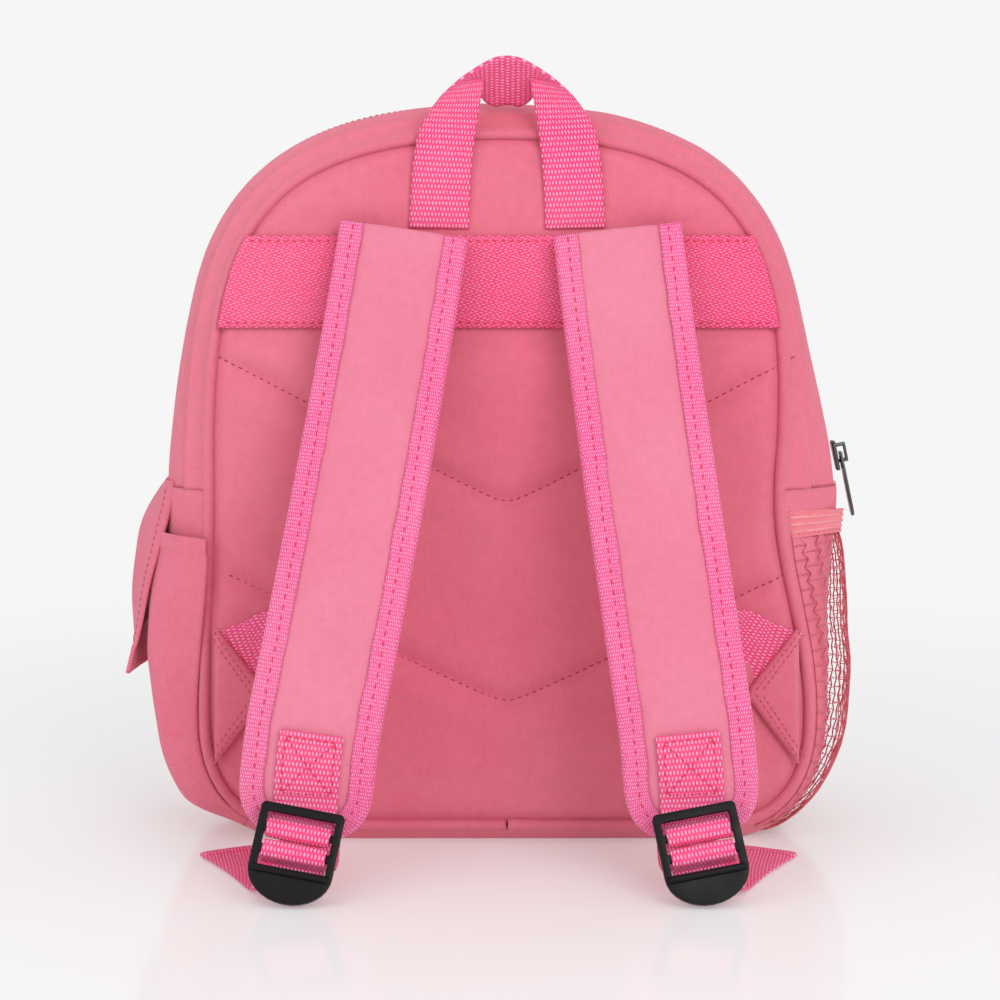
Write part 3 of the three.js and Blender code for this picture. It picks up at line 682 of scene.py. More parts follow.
# %% Main zip
def zip_row(name, sign, body, ends, pitch=1.7 * MM):
    start, end = ends
    bm = bmesh.new()
    count = round((end - start) * SEAM_LENGTH / pitch)
    for k in range(count):
        t = start + (end - start) * (k + (0.5 if sign > 0 else 0.0)) / count
        middle = on_gusset(t, 0, -0.3 * MM) + Vector((0, sign * 1.0 * MM, 0))
        out = seam_out(t)
        ahead = Vector((0, 1, 0)).cross(out)
        axes = Matrix((ahead * 0.62 * MM, Vector((0, 1.9 * MM, 0)), out * 0.8 * MM)).transposed()
        bmesh.ops.create_icosphere(
            bm, subdivisions=1, radius=1.0, matrix=Matrix.Translation(middle) @ axes.to_4x4()
        )
    piece(name, bm, COIL, body)


def zip_tape(name, sign, body, node, ends):
    start, end = ends

    def place(u, v):
        t = start + (end - start) * u
        y = sign * (0.4 * MM + (ZIP_EDGE + 3 * MM) * v)
        sunk = 1.9 * MM - 0.9 * MM * math.exp(-((y / (2.6 * MM)) ** 2))
        return on_gusset(t, y, -sunk), (t * SEAM_LENGTH, y)

    bm = face_away(formed(200, 8, place))
    made = piece(name, bm, TAPE, body, node, thick=0.5 * MM)


ZIP_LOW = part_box("zip_end_left")[1].z
zip_ends = (share_at(ZIP_LOW, "left"), share_at(ZIP_LOW, "right"))
for sign, body, end in ((-1, "bag", "rear"), (1, "front_flap", "front")):
    zip_row(f"zip_coil_{end}", sign, body, zip_ends)
    zip_tape(f"zip_tape_{end}", sign, body, f"main_zip_{end}", zip_ends)

for end, depths, body in (
    ("rear", (-ZIP_EDGE - 2.5 * MM, -ZIP_EDGE - 4.5 * MM), "bag"),
    ("front", (ZIP_EDGE + 2.5 * MM,), "front_flap"),
):
    edge_rows = bmesh.new()
    for depth in depths:
        shares = [arch[0] + (arch[1] - arch[0]) * k / 60 for k in range(61)]
        sew(edge_rows, [on_gusset(t, depth, 0.15 * MM) for t in shares], heading_out, 2.6 * MM)
    sewn_piece(f"stitches_zip_{end}", edge_rows, THREAD, body)

# %% [markdown]
# ## Piping
# Piping is a cord wrapped in a bias strip of the body cloth and caught in the seam. A tube swept
# round the seam line gives it. The wrap is cut on the bias, so its weave runs askew: the UV map is
# sheared to show that. At the middle of the base its two ends lie over one another.


# %% Piping
def piping_tube(name, y, ends, body, stands_for, columns):
    start, end = ends
    whole = end - start > 0.99

    def place(u, v):
        t = start + (end - start) * u
        angle = 2 * math.pi * v
        lump = 1 + 0.05 * noise.noise(Vector((t * 160, y * 50, 0))) + 0.02 * math.sin(angle * 2)
        from_end = min(u, 1 - u) * SEAM_LENGTH
        overlap = 0.5 * MM * math.exp(-((from_end / (6 * MM)) ** 2)) if whole else 0
        radius = PIPING * lump + overlap * (1 if u > 0.5 else -0.3)
        out = radius * math.cos(angle) - PIPING
        point = seam(t, out, y + radius * math.sin(angle))
        around = angle * PIPING
        return point, (t * SEAM_LENGTH + around, around - t * SEAM_LENGTH * 0.5)

    bm = formed(columns, 14, place, closed=True, capped=True)
    return piece(name, bm, BODY, body, stands_for)


PIPING_Y = -BACK - PIPING
GAP_SHARE = 0.4 * MM / SEAM_LENGTH
piping_tube("piping_back", -PIPING_Y, (GAP_SHARE, 1 - GAP_SHARE), "bag", "back_piping", 480)
piping_tube("piping_front_low", PIPING_Y, (RIGHT_FOLD - 1, LEFT_FOLD), "bag", "front_piping_lower", 240)
piping_tube("piping_front_high", PIPING_Y, arch, "front_flap", "front_piping_upper", 260)

seam_rows = bmesh.new()
behind = [seam(k / 120, 0.35 * MM, -PIPING_Y + PIPING + 0.6 * MM) for k in range(121)]
sew(seam_rows, behind, heading_out, 2.8 * MM)
sewn_piece("stitches_piping_back", seam_rows, THREAD, "bag")

# %% [markdown]
# ## Panels from an outline
# A flat panel with a curved edge is a regular grid trimmed to its outline: corners outside are
# deleted and those left on the rim are moved to it. The weave then lies straight, as on cloth cut with
# its threads upright, and the small squares leave room for padding and seams.


# %% Trimmed panel helper
def trimmed(outline, spacing, lie, y_sign, low_z=-1.0, high_z=2.0):
    """A grid filling a closed outline of (x, z), each point at y = lie(x, z), facing y_sign."""
    xs, zs = [p[0] for p in outline], [max(low_z, min(high_z, p[1])) for p in outline]
    low, high = Vector((min(xs), 0, min(zs))), Vector((max(xs), 0, max(zs)))
    outline = list(zip(xs, zs))

    def crossings(z):
        found = []
        for (x0, z0), (x1, z1) in zip(outline, outline[1:] + outline[:1]):
            if (z0 > z) != (z1 > z):
                found.append(x0 + (x1 - x0) * (z - z0) / (z1 - z0))
        return (min(found), max(found)) if found else (1.0, -1.0)

    columns = round((high.x - low.x) / spacing)
    rows = round((high.z - low.z) / spacing)
    bm = bmesh.new()
    bmesh.ops.create_grid(bm, x_segments=columns, y_segments=rows, size=0.5)
    uv = bm.loops.layers.uv.new("UVMap")
    spans = {}
    outside = []
    for vert in bm.verts:
        x = low.x + (vert.co.x + 0.5) * (high.x - low.x)
        z = low.z + (vert.co.y + 0.5) * (high.z - low.z)
        level = round(z, 6)
        if level not in spans:
            spans[level] = crossings(min(high.z - 1e-5, max(low.z + 1e-5, z)))
        span = spans[level]
        if not span[0] - spacing * 0.3 <= x <= span[1] + spacing * 0.3:
            outside.append(vert)
        vert.co = (x, 0, z)
    bmesh.ops.delete(bm, geom=outside, context="VERTS")
    for vert in bm.verts:
        if vert.is_boundary:
            x, _, z = vert.co
            vert.co.x, vert.co.z = min(outline, key=lambda p: (p[0] - x) ** 2 + (p[1] - z) ** 2)
    for vert in bm.verts:
        vert.co.y = lie(vert.co.x, vert.co.z)
    for face in bm.faces:
        for loop in face.loops:
            loop[uv].uv = (loop.vert.co.x, loop.vert.co.z)
    bm.normal_update()
    if sum(f.normal.y for f in bm.faces) * y_sign < 0:
        bmesh.ops.reverse_faces(bm, faces=bm.faces)
    return bm


def inset_outline(inset):
    return [(p.x - n.x * inset, p.z - n.z * inset) for p, n in zip(seam_line, out_of)]


def rim_distance(x, z):
    """How far a point lies from the seam line: a coarse search, then a fine one round its result."""

    def away(i):
        return math.hypot(seam_line[i % LOOP].x - x, seam_line[i % LOOP].z - z)

    near = min(range(0, LOOP, 8), key=away)
    return min(away(i) for i in range(near - 7, near + 8))


def smoothstep(low, high, value):
    share = min(1.0, max(0.0, (value - low) / (high - low)))
    return share * share * (3 - 2 * share)


# %% [markdown]
# ## The padded back
# The back panel is cloth quilted over foam. A thin slab of its outline is blown up a little by the cloth
# solver, with its rim held, and the height of the result is read off onto the fine grid. Two rows of
# chevron quilting are pressed into it after that, since a remesh would lose such narrow channels.

# %% Simulate the back panel
BAND_LOW, BAND_HIGH = (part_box("yoke_band")[k].z for k in (0, 1))
PAD_RISE = 4.2 * MM


def padded_height():
    """Returns a function giving how far the blown-up panel stands off its flat face."""
    outline = inset_outline(6 * MM)[::6]
    bm = bmesh.new()
    rim = [bm.verts.new((x, 0, z)) for x, z in outline]
    made = bmesh.ops.contextual_create(bm, geom=rim)["faces"]
    grown = bmesh.ops.extrude_face_region(bm, geom=made)["geom"]
    moved = [g for g in grown if isinstance(g, bmesh.types.BMVert)]
    bmesh.ops.translate(bm, verts=moved, vec=(0, 9 * MM, 0))
    bmesh.ops.recalc_face_normals(bm, faces=bm.faces)
    mesh = bpy.data.meshes.new("back_panel_blank")
    bm.to_mesh(mesh)
    bm.free()
    blank = bpy.data.objects.new("back_panel_blank", mesh)
    bpy.context.collection.objects.link(blank)
    remesh = blank.modifiers.new("remesh", "REMESH")
    remesh.mode = "VOXEL"
    remesh.voxel_size = 4.5 * MM
    flat = bpy.data.meshes.new_from_object(blank.evaluated_get(bpy.context.evaluated_depsgraph_get()))
    blank.modifiers.clear()
    blank.data = flat
    held = blank.vertex_groups.new(name="held")
    held.add([v.index for v in flat.vertices if rim_distance(v.co.x, v.co.z) < 12 * MM], 1.0, "ADD")
    cloth_sim = blank.modifiers.new("cloth", "CLOTH")
    cloth_sim.settings.use_pressure = True
    cloth_sim.settings.uniform_pressure_force = 4
    cloth_sim.settings.effector_weights.gravity = 0
    cloth_sim.settings.vertex_group_mass = "held"
    for number in range(1, 21):
        bpy.context.scene.frame_set(number)
    blown = blank.evaluated_get(bpy.context.evaluated_depsgraph_get()).to_mesh()
    bm = bmesh.new()
    bm.from_mesh(blown)
    bmesh.ops.smooth_vert(bm, verts=bm.verts, factor=0.5, use_axis_x=True, use_axis_y=True, use_axis_z=True)
    tree = BVHTree.FromBMesh(bm)
    bm.free()
    bpy.data.objects.remove(blank)
    bpy.context.scene.frame_set(1)

    def height(x, z):
        hit = tree.ray_cast(Vector((x, -0.2, z)), Vector((0, 1, 0)))
        return max(0.0, -hit[0].y) if hit[0] else 0.0

    tallest = max(height(x * 0.01, z * 0.01) for x in range(-10, 11) for z in range(2, 28))
    print("the cloth solver raises the panel by", round(tallest / MM, 1), "mm")
    scale = min(1.0, PAD_RISE / tallest) if tallest > 0 else 1.0
    return lambda x, z: height(x, z) * scale


puffed = padded_height()

# %% Back panel
CHEVRONS = ((146.5 * MM, 62.5 * MM), (62 * MM, 57 * MM))
CHEVRON_HALF = 120 * MM


def chevron_z(which, x):
    """The height of a quilting line over the middle of the panel; it dips to a soft point."""
    apex, rise = CHEVRONS[which]
    reach = math.sqrt(x * x + (5 * MM) ** 2) - 5 * MM
    return apex + rise * reach / CHEVRON_HALF


def groove(x, z):
    """How deep the quilting pulls the cloth in, with the padding standing up on both sides."""
    depth = 0.0
    for which, (_, rise) in enumerate(CHEVRONS):
        away = abs(z - chevron_z(which, x)) * math.cos(math.atan(rise / CHEVRON_HALF))
        channel = 2.9 * MM * math.exp(-((away / (3.4 * MM)) ** 1.4))
        bank = 0.9 * MM * math.exp(-(((away - 11 * MM) / (7 * MM)) ** 2))
        depth += channel - bank
    return depth


def back_lie(x, z):
    from_rim = rim_distance(x, z)
    rise = puffed(x, z) + 1.2 * MM * smoothstep(3 * MM, 14 * MM, from_rim)
    rise -= groove(x, z) * smoothstep(6 * MM, 16 * MM, from_rim)
    rise -= 3.2 * MM * smoothstep(10 * MM, 3 * MM, from_rim)
    point = Vector((x, 0, z))
    rise += 0.5 * MM * noise.noise(point * 26) + 0.12 * MM * noise.noise(point * 120)
    near_band = smoothstep(BAND_LOW - 14 * MM, BAND_LOW - 1 * MM, z)
    near_band *= smoothstep(BAND_HIGH + 14 * MM, BAND_HIGH + 1 * MM, z)
    rise += (min(rise, -0.3 * MM) - rise) * near_band
    near_handle = smoothstep(BAND_HIGH - 1 * MM, BAND_HIGH + 2 * MM, z) * smoothstep(62 * MM, 44 * MM, abs(x))
    rise += (min(rise, -0.2 * MM) - rise) * near_handle
    beside = smoothstep(0.099, 0.109, abs(x)) * smoothstep(0.022, 0.034, z) * smoothstep(0.105, 0.095, z)
    rise += (min(rise, 0.6 * MM) - rise) * beside
    return BACK - max(rise, -3 * MM)


back_bm = trimmed(inset_outline(2.4 * MM), 1.5 * MM, back_lie, -1)
back_nodes = ("back_panel_cover", "back_panel_foam")
back = piece("back_panel", back_bm, BODY, "bag", back_nodes, thick=0.9 * MM)


def on_back(x, z, lift=0.15 * MM):
    return Vector((x, back_lie(x, z) - lift, z))


quilting = bmesh.new()
for which, _ in enumerate(CHEVRONS):
    line = [on_back(x * 4 * MM, chevron_z(which, x * 4 * MM)) for x in range(-30, 31)]
    sew(quilting, line, (0, -1, 0), 3.3 * MM, 0.7 * MM, 0.7)
sewn_piece("stitches_quilting", quilting, THREAD, "bag")

# %% [markdown]
# ## Yoke band
# A wide herringbone webbing crosses the back under the straps and holds them and the handle. It is a
# plain strip between the two seams, sewn down along both edges, where it puckers a little.

# %% Yoke band
BAND_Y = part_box("yoke_band")[0].y


def width_at(z, inset):
    left, right = seam(share_at(z, "left"), -inset), seam(share_at(z, "right"), -inset)
    return left.x, right.x


band_ends = [width_at(BAND_LOW + (BAND_HIGH - BAND_LOW) * k / 8, 3.4 * MM) for k in range(9)]


def band_place(u, v):
    z = BAND_LOW + (BAND_HIGH - BAND_LOW) * v
    k = min(7, int(v * 8))
    left, right = (band_ends[k][i] + (band_ends[k + 1][i] - band_ends[k][i]) * (v * 8 - k) for i in (0, 1))
    x = left + (right - left) * u
    wave = 0.25 * MM * noise.noise(Vector((x * 70, 0, z * 30)))
    edge = min(v, 1 - v) * 38
    tight = 0.35 * MM * (1 - math.exp(-((edge / 4) ** 2)))
    return Vector((x, BAND_Y - tight - wave, z)), (x, z)


band_bm = face_away(formed(240, 26, band_place))
band = piece("yoke_webbing", band_bm, YOKE, "bag", "yoke_band", thick=1.1 * MM)
band_rows = bmesh.new()
for z in (BAND_LOW + 2.2 * MM, BAND_HIGH - 2.2 * MM):
    line = [Vector((x, BAND_Y - 0.3 * MM, z)) for x in width_at(z, 6 * MM)]
    sew(band_rows, line, (0, -1, 0), 3.4 * MM, 0.6 * MM)
sewn_piece("stitches_yoke", band_rows, RED_THREAD, "bag")

# %% [markdown]
# ## Front panel and pocket
# The front panel folds down as one cloth, so one mesh covers both halves. The
# pocket is a shallow box: a wall round its outline, and a face with a zip across it.

# %% Front panel
def front_lie(x, z):
    point = Vector((x, 0, z))
    rise = 1.6 * MM * smoothstep(3 * MM, 50 * MM, rim_distance(x, z))
    low = smoothstep(150 * MM, 120 * MM, z)
    return FRONT + (rise + 0.4 * MM * noise.noise(point * 24)) * (1 - low) - 0.3 * MM * low


front_bm = trimmed(inset_outline(3.2 * MM)[::2], 2.2 * MM, front_lie, 1)
front_ends = (Vector((0, FRONT, FOLD_Z - 4 * MM)), Vector((0, FRONT, FOLD_Z + 4 * MM)))
front_cloth = piece(
    "front_panel",
    front_bm,
    BODY,
    ("bag", "front_flap", *front_ends),
    ("front_panel_lower", "front_panel_upper"),
    thick=0.9 * MM,
)

# %% Front pocket
pocket_low, pocket_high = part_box("front_pocket_gusset")
face_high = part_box("front_pocket_panel")[1]
strip_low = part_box("front_pocket_top_strip")[0]
POCKET_INSET = 14 * MM
ROUND = 8 * MM


def pocket_outline(inset, top):
    """The pocket's edge: the seam line moved in, closed by a straight top with round corners."""
    start, end = share_at(top - ROUND, "right") - 1, share_at(top - ROUND, "left")
    low = [seam(start + (end - start) * k / 120, -inset) for k in range(121)]
    first, last = low[0], low[-1]
    rounding = []
    for k in range(1, 8):
        turn = math.pi / 2 * k / 8
        rounding.append((ROUND * (1 - math.cos(turn)), ROUND * math.sin(turn)))
    up = [(last.x + dx, last.z + dz) for dx, dz in rounding]
    down = [(first.x - dx, first.z + dz) for dx, dz in reversed(rounding)]
    middle = [(up[-1][0] + (down[0][0] - up[-1][0]) * k / 60, top) for k in range(1, 60)]
    return [(p.x, p.z) for p in low] + up + middle + down


def pocket_lie(x, z):
    point = Vector((x, 0, z))
    middle = 1 - (x / 0.12) ** 2
    fullness = 5 * MM * max(0, middle) * smoothstep(8 * MM, 60 * MM, z) * smoothstep(152 * MM, 90 * MM, z)
    return face_high.y - 0.6 * MM + fullness * 0.8 + 0.5 * MM * noise.noise(point * 22)


pocket_edge = pocket_outline(POCKET_INSET, pocket_high.z)
face_bm = trimmed(pocket_edge, 2.2 * MM, pocket_lie, 1, high_z=face_high.z)
pocket_cloth = piece("pocket_face", face_bm, BODY, "bag", "front_pocket_panel", thick=0.9 * MM)
strip_bm = trimmed(pocket_edge, 2.0 * MM, pocket_lie, 1, low_z=strip_low.z)
pocket_cloth = piece(
    "pocket_strip", strip_bm, BODY, "bag", "front_pocket_top_strip", thick=0.9 * MM
)
wall_line = [Vector((x, 0, z)) for x, z in pocket_edge]
wall_line = smooth_line(wall_line[::3], 260, closed=True)
wall_length = length_of([*wall_line, wall_line[0]])


def pocket_wall(u, v):
    point = wall_line[round(u * 260) % 260].copy()
    y0, y1 = pocket_low.y + 0.2 * MM, pocket_lie(point.x, point.z)
    point.y = y0 + (y1 - y0) * v
    away = Vector((point.x, 0, point.z - 0.07)).normalized()
    point += away * 0.7 * MM * math.sin(math.pi * v) * noise.noise(point * 90)
    return point, (u * wall_length, point.y)


wall_bm = formed(260, 8, pocket_wall, closed=True)
face_away(wall_bm, Vector((0, 0.054, 0.07)))
wall = piece("pocket_wall", wall_bm, GUSSET, "bag", "front_pocket_gusset", thick=0.9 * MM)

# %% Pocket welt and zip
def tube(name, line, radius, finish, body, closed=False, stands_for=(), sides=10):
    """A round cord along a line of points, with its cloth running along it."""
    count = len(line)
    ahead_of = [
        (line[(i + 1) % count] - line[i - 1] if closed or 0 < i < count - 1
         else line[min(i + 1, count - 1)] - line[max(i - 1, 0)]).normalized()
        for i in range(count)
    ]
    total = length_of(line)

    def place(u, v):
        i = round(u * (count if closed else count - 1)) % count
        ahead = ahead_of[i]
        side = ahead.cross(Vector((0, 1, 0)) if abs(ahead.y) < 0.9 else Vector((1, 0, 0))).normalized()
        off = side.cross(ahead)
        angle = 2 * math.pi * v
        point = line[i] + side * radius * math.cos(angle) + off * radius * math.sin(angle)
        return point, (u * total, angle * radius)

    bm = formed(count if closed else count - 1, sides, place, closed=True, capped=not closed)
    return piece(name, bm, finish, body, stands_for)


welt_line = [Vector((p.x, pocket_lie(p.x, p.z) - 0.4 * MM, p.z)) for p in wall_line]
tube("pocket_piping", welt_line, 1.7 * MM, BODY, "bag", closed=True)
ZIP_Z = (face_high.z + strip_low.z) / 2
zip_x = (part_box("front_zip_lower")[0].x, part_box("front_zip_lower")[1].x)
for name, sign in (("lower", -1), ("upper", 1)):

    def tape_place(u, v, sign=sign):
        x = zip_x[0] + (zip_x[1] - zip_x[0]) * u
        z = ZIP_Z + sign * (0.3 + 8.7 * v) * MM
        return Vector((x, pocket_lie(x, z) - 1.1 * MM, z)), (x, z)

    tape_bm = face_away(formed(110, 6, tape_place), Vector((0, 0, 0.12)))
    pocket_tape = piece(
        f"pocket_tape_{name}", tape_bm, TAPE, "bag", f"front_zip_{name}", thick=0.5 * MM
    )
    coil_bm = bmesh.new()
    turns_of_coil = round((zip_x[1] - zip_x[0]) / (1.7 * MM))
    for k in range(turns_of_coil):
        x = zip_x[0] + (k + (0.5 if sign > 0 else 0)) * 1.7 * MM
        middle = Vector((x, pocket_lie(x, ZIP_Z) - 0.9 * MM, ZIP_Z + sign * 0.9 * MM))
        bead = Matrix.Translation(middle) @ Matrix.Diagonal((0.6 * MM, 0.7 * MM, 1.5 * MM, 1))
        bmesh.ops.create_icosphere(coil_bm, subdivisions=1, radius=1, matrix=bead)
    piece(f"pocket_coil_{name}", coil_bm, COIL, "bag")
pocket_rows = bmesh.new()
for z in (face_high.z - 2.2 * MM, strip_low.z + 2.2 * MM):
    line = [Vector((x * 5 * MM, pocket_lie(x * 5 * MM, z) + 0.1 * MM, z)) for x in range(-20, 20)]
    sew(pocket_rows, line, (0, 1, 0), 2.8 * MM)
sewn_piece("stitches_pocket", pocket_rows, THREAD, "bag")

# %% [markdown]
# ## Side pockets
# The left pocket is a full pouch with a hem at its mouth and a flap. The right one is a knitted net
# gathered into ribbed elastic. Both start from the gusset's swell and stand off it by a fullness of
# their own, with folds added.


# %% Pouch
REAR_EDGE, FRONT_EDGE = -GUSSET_EDGE - 1.2 * MM, 38 * MM


def pocket_sheet(side, low_z, high_z, fullness, columns, rows, sag=(0.0, 0.0), overlap=0.0):
    """A grid over the gusset from the rear piping forwards, standing off it by fullness(u, v). Its foot
    and mouth sag towards the front, and its rear edge may lie over the piping near the mouth."""
    ends = sorted((share_at(low_z, side), share_at(high_z, side)))
    up = side == "left"

    def at(u, v, extra=0.0):
        t = ends[0] + (ends[1] - ends[0]) * (u if up else 1 - u)
        t += (-1 if up else 1) * (sag[0] + (sag[1] - sag[0]) * u) * min(1, 2 * v) / SEAM_LENGTH
        y = REAR_EDGE + (FRONT_EDGE - REAR_EDGE) * v
        base = on_gusset(t, y)
        full = fullness(u, v, base) + extra
        over = overlap * smoothstep(0.3, 0.95, u) * (1 - v) ** 7
        rearward = 0.12 * full * (1 - v) + over
        return on_gusset(t, y, full) + Vector((-0.6 * over * SIDES[side], -rearward, 0))

    def place(u, v):
        return at(u, v), (u * (ends[1] - ends[0]) * SEAM_LENGTH, (FRONT_EDGE - REAR_EDGE) * v)

    return face_away(formed(columns, rows, place)), at


POUCH_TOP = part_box("side_pocket_pouch")[1].z
POUCH_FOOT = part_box("side_pocket_pouch")[0].z


def pouch_full(u, v, base):
    """A box of cloth: steep walls and a broad face, a rolled hem at the mouth, and soft creases."""
    wall = min(1.0, (1 - abs(2 * v - 1)) / 0.3)
    wall = wall * (2 - wall)
    height = 8 * MM + 5.5 * MM * math.sin(math.pi * min(1, u * 0.95)) - 5.5 * MM * smoothstep(0.55, 1, u)
    height *= smoothstep(0, 0.16, u)
    folds = noise.noise(Vector((base.x * 20, base.y * 30, base.z * 40)))
    crease = 0.9 * MM * folds * smoothstep(0, 0.2, wall)
    hem = 0.6 * MM * smoothstep(0.94, 0.955, u)
    return 0.5 * MM + height * wall + crease + hem


pouch_bm, on_pouch = pocket_sheet("left", POUCH_FOOT + 5 * MM, POUCH_TOP, pouch_full, 110, 90, overlap=7 * MM)
pouch = piece("side_pouch", pouch_bm, BODY, "bag", "side_pocket_pouch", thick=1.0 * MM)
hem_row = bmesh.new()
hem_line = [on_pouch(0.94, v / 60, 0.2 * MM) for v in range(2, 59)]
sew(hem_row, hem_line, heading_out, 3.0 * MM)
sewn_piece("stitches_pouch", hem_row, THREAD, "bag")

# %% [markdown]
# A knitted net has holes with six sides. A grid with every other upright removed is a brick wall;
# shifting its corners up and down turns the bricks into such cells, and a wireframe gives them yarn.


# %% Net pocket
def net_mesh(at, columns, rows):
    bm = bmesh.new()
    bmesh.ops.create_grid(bm, x_segments=columns, y_segments=rows, size=0.5)
    upright = []
    for edge in bm.edges:
        a, b = (v.co for v in edge.verts)
        if abs(a.x - b.x) < 1e-6:
            i = round((a.x + 0.5) * columns)
            k = round((min(a.y, b.y) + 0.5) * rows)
            if (i + k) % 2 and 0 < i < columns:
                upright.append(edge)
    bmesh.ops.dissolve_edges(bm, edges=upright, use_verts=False, use_face_split=False)
    uv = bm.loops.layers.uv.new("UVMap")
    for vert in bm.verts:
        u, v = vert.co.x + 0.5, vert.co.y + 0.5
        i, k = round(u * columns), round(v * rows)
        inner = 0 < k < rows and 0 < i < columns
        nudge = (0.18 if (i + k) % 2 else -0.18) / rows if inner else 0.0
        vert.co = at(min(1, max(0, u)), min(1, max(0, v + nudge)))
    for face in bm.faces:
        for loop in face.loops:
            loop[uv].uv = (loop.vert.co.z, loop.vert.co.y)
    return face_away(bm)


def net_full(u, v, base):
    """The net stands off just in front of the rear seam and lies closer to the cloth further on."""
    across = math.sin(math.pi / 2 * min(1, v / 0.3)) * (1 - 0.8 * smoothstep(0.32, 0.75, v))
    across *= min(1, (1 - v) / 0.1)
    belly = across * math.sin(math.pi * min(1, max(0, u))) ** 0.6
    pull = 1.5 * MM * noise.noise(Vector((base.z * 50, base.y * 34, 3.0))) * belly
    return 0.9 * MM + 11 * MM * belly + pull


NET_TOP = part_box("mesh_pocket_elastic")[0].z
NET_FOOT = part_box("mesh_pocket_net")[0].z + 5 * MM
SAG = 8 * MM
net_flat, on_net = pocket_sheet("right", NET_FOOT, NET_TOP + 1 * MM, net_full, 4, 4, sag=(0.0, SAG))
net_flat.free()
net_bm = net_mesh(on_net, 40, 22)
net = piece("net_pocket", net_bm, NET, "bag", "mesh_pocket_net")
yarn = net.modifiers.new("yarn", "WIREFRAME")
yarn.thickness = 0.7 * MM
yarn.use_even_offset = False
yarn.use_replace = True


# %% Elastic mouth
def elastic_full(u, v, base):
    ribs = 0.3 * MM * math.cos(u * 2 * math.pi * 4)
    wave = 0.3 * MM * noise.noise(Vector((v * 14, 0, 0)))
    return 1.4 * MM + 3 * MM * (1 - abs(2 * v - 1) ** 3) + ribs + wave


elastic_bm, on_elastic = pocket_sheet(
    "right", NET_TOP - 1 * MM, NET_TOP + 9.5 * MM, elastic_full, 32, 90, sag=(SAG, SAG)
)
elastic = piece("net_elastic", elastic_bm, ELASTIC, "bag", "mesh_pocket_elastic", thick=1.0 * MM)
rows_bm = bmesh.new()
sew(rows_bm, [on_elastic(0.1, v / 40, 0.3 * MM) for v in range(1, 40)], heading_out, 2.6 * MM)
for above in (15, 20):
    t = share_at(NET_TOP + above * MM, "right")
    line = [on_gusset(t, REAR_EDGE + (FRONT_EDGE - REAR_EDGE) * v / 40, 0.4 * MM) for v in range(2, 38)]
    sew(rows_bm, line, heading_out, 2.6 * MM)
sewn_piece("stitches_elastic", rows_bm, TONAL, "bag")

# %% [markdown]
# ## Strips
# Every strap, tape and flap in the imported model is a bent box: a row of rings of four corners. Its
# rings are found by walking from one end, and give the middle line, the width's direction and the
# thickness. Detailed webbing is then swept along that same line.


# %% Strip helpers
def merged_copy(node):
    bm = bmesh.new()
    bm.from_mesh(nodes[node].data)
    bmesh.ops.remove_doubles(bm, verts=bm.verts, dist=5e-6)
    return bm


def rings_of(node):
    """The rings of a bent box as (middle, width vector, thickness vector), from one end on."""
    bm = merged_copy(node)
    for edge in bm.edges:
        first = {vert for face in edge.link_faces for vert in face.verts}
        rings, seen = [first], set(first)
        while rings[-1]:
            ahead = {e.other_vert(v) for v in rings[-1] for e in v.link_edges} - seen
            rings.append(ahead)
            seen |= ahead
        if all(len(ring) == 4 for ring in rings[:-1]) and len(rings) > 2:
            break
    else:
        raise ValueError(node + " is not a bent box")
    found = []
    for ring in rings[:-1]:
        points = [vert.co.copy() for vert in ring]
        corner = points[0]
        _, near, far, _ = sorted(points, key=lambda p: (p - corner).length)
        found.append((sum(points, Vector()) / 4, far - corner, near - corner))
    bm.free()
    return found


class Strip:
    """A smooth strip: at(u, x, n) is the point u along it, x across it and n off its face."""

    def __init__(self, names, start, across, fine=240):
        rings = []
        for name in [names] if isinstance(names, str) else names:
            part = rings_of(name)
            last = rings[-1][0] if rings else Vector(start)
            if (part[0][0] - last).length > (part[-1][0] - last).length:
                part.reverse()
            rings += part
        wide, hint = [], Vector(across)
        for _, width, _ in rings:
            hint = (width if width.dot(hint) > 0 else -width).normalized()
            wide.append(hint)
        self.half = rings[0][1].length / 2
        self.thick = rings[0][2].length / 2
        self.line = smooth_line([ring[0] for ring in rings], fine)
        self.length = length_of(self.line)
        run = [0.0]
        for a, b in zip(rings, rings[1:]):
            run.append(run[-1] + (b[0] - a[0]).length)
        self.wide = []
        k = 0
        for i in range(fine):
            want = run[-1] * i / (fine - 1)
            while k < len(run) - 2 and run[k + 1] < want:
                k += 1
            share = (want - run[k]) / (run[k + 1] - run[k])
            self.wide.append(wide[k].lerp(wide[k + 1], min(1, max(0, share))))
        self.joins = run

    def frame(self, u):
        last = len(self.line) - 1
        place = min(last, max(0.0, u * last))
        i = min(last - 1, int(place))
        share = place - i
        ahead = (self.line[min(last, i + 2)] - self.line[max(0, i - 1)]).normalized()
        wide = self.wide[i].lerp(self.wide[i + 1], share)
        wide = (wide - ahead * wide.dot(ahead)).normalized()
        return self.line[i].lerp(self.line[i + 1], share), wide, ahead.cross(wide), ahead

    def at(self, u, x=0.0, n=0.0):
        middle, wide, normal, ahead = self.frame(u)
        beyond = (u - min(1, max(0, u))) * self.length
        return middle + wide * x + normal * n + ahead * beyond


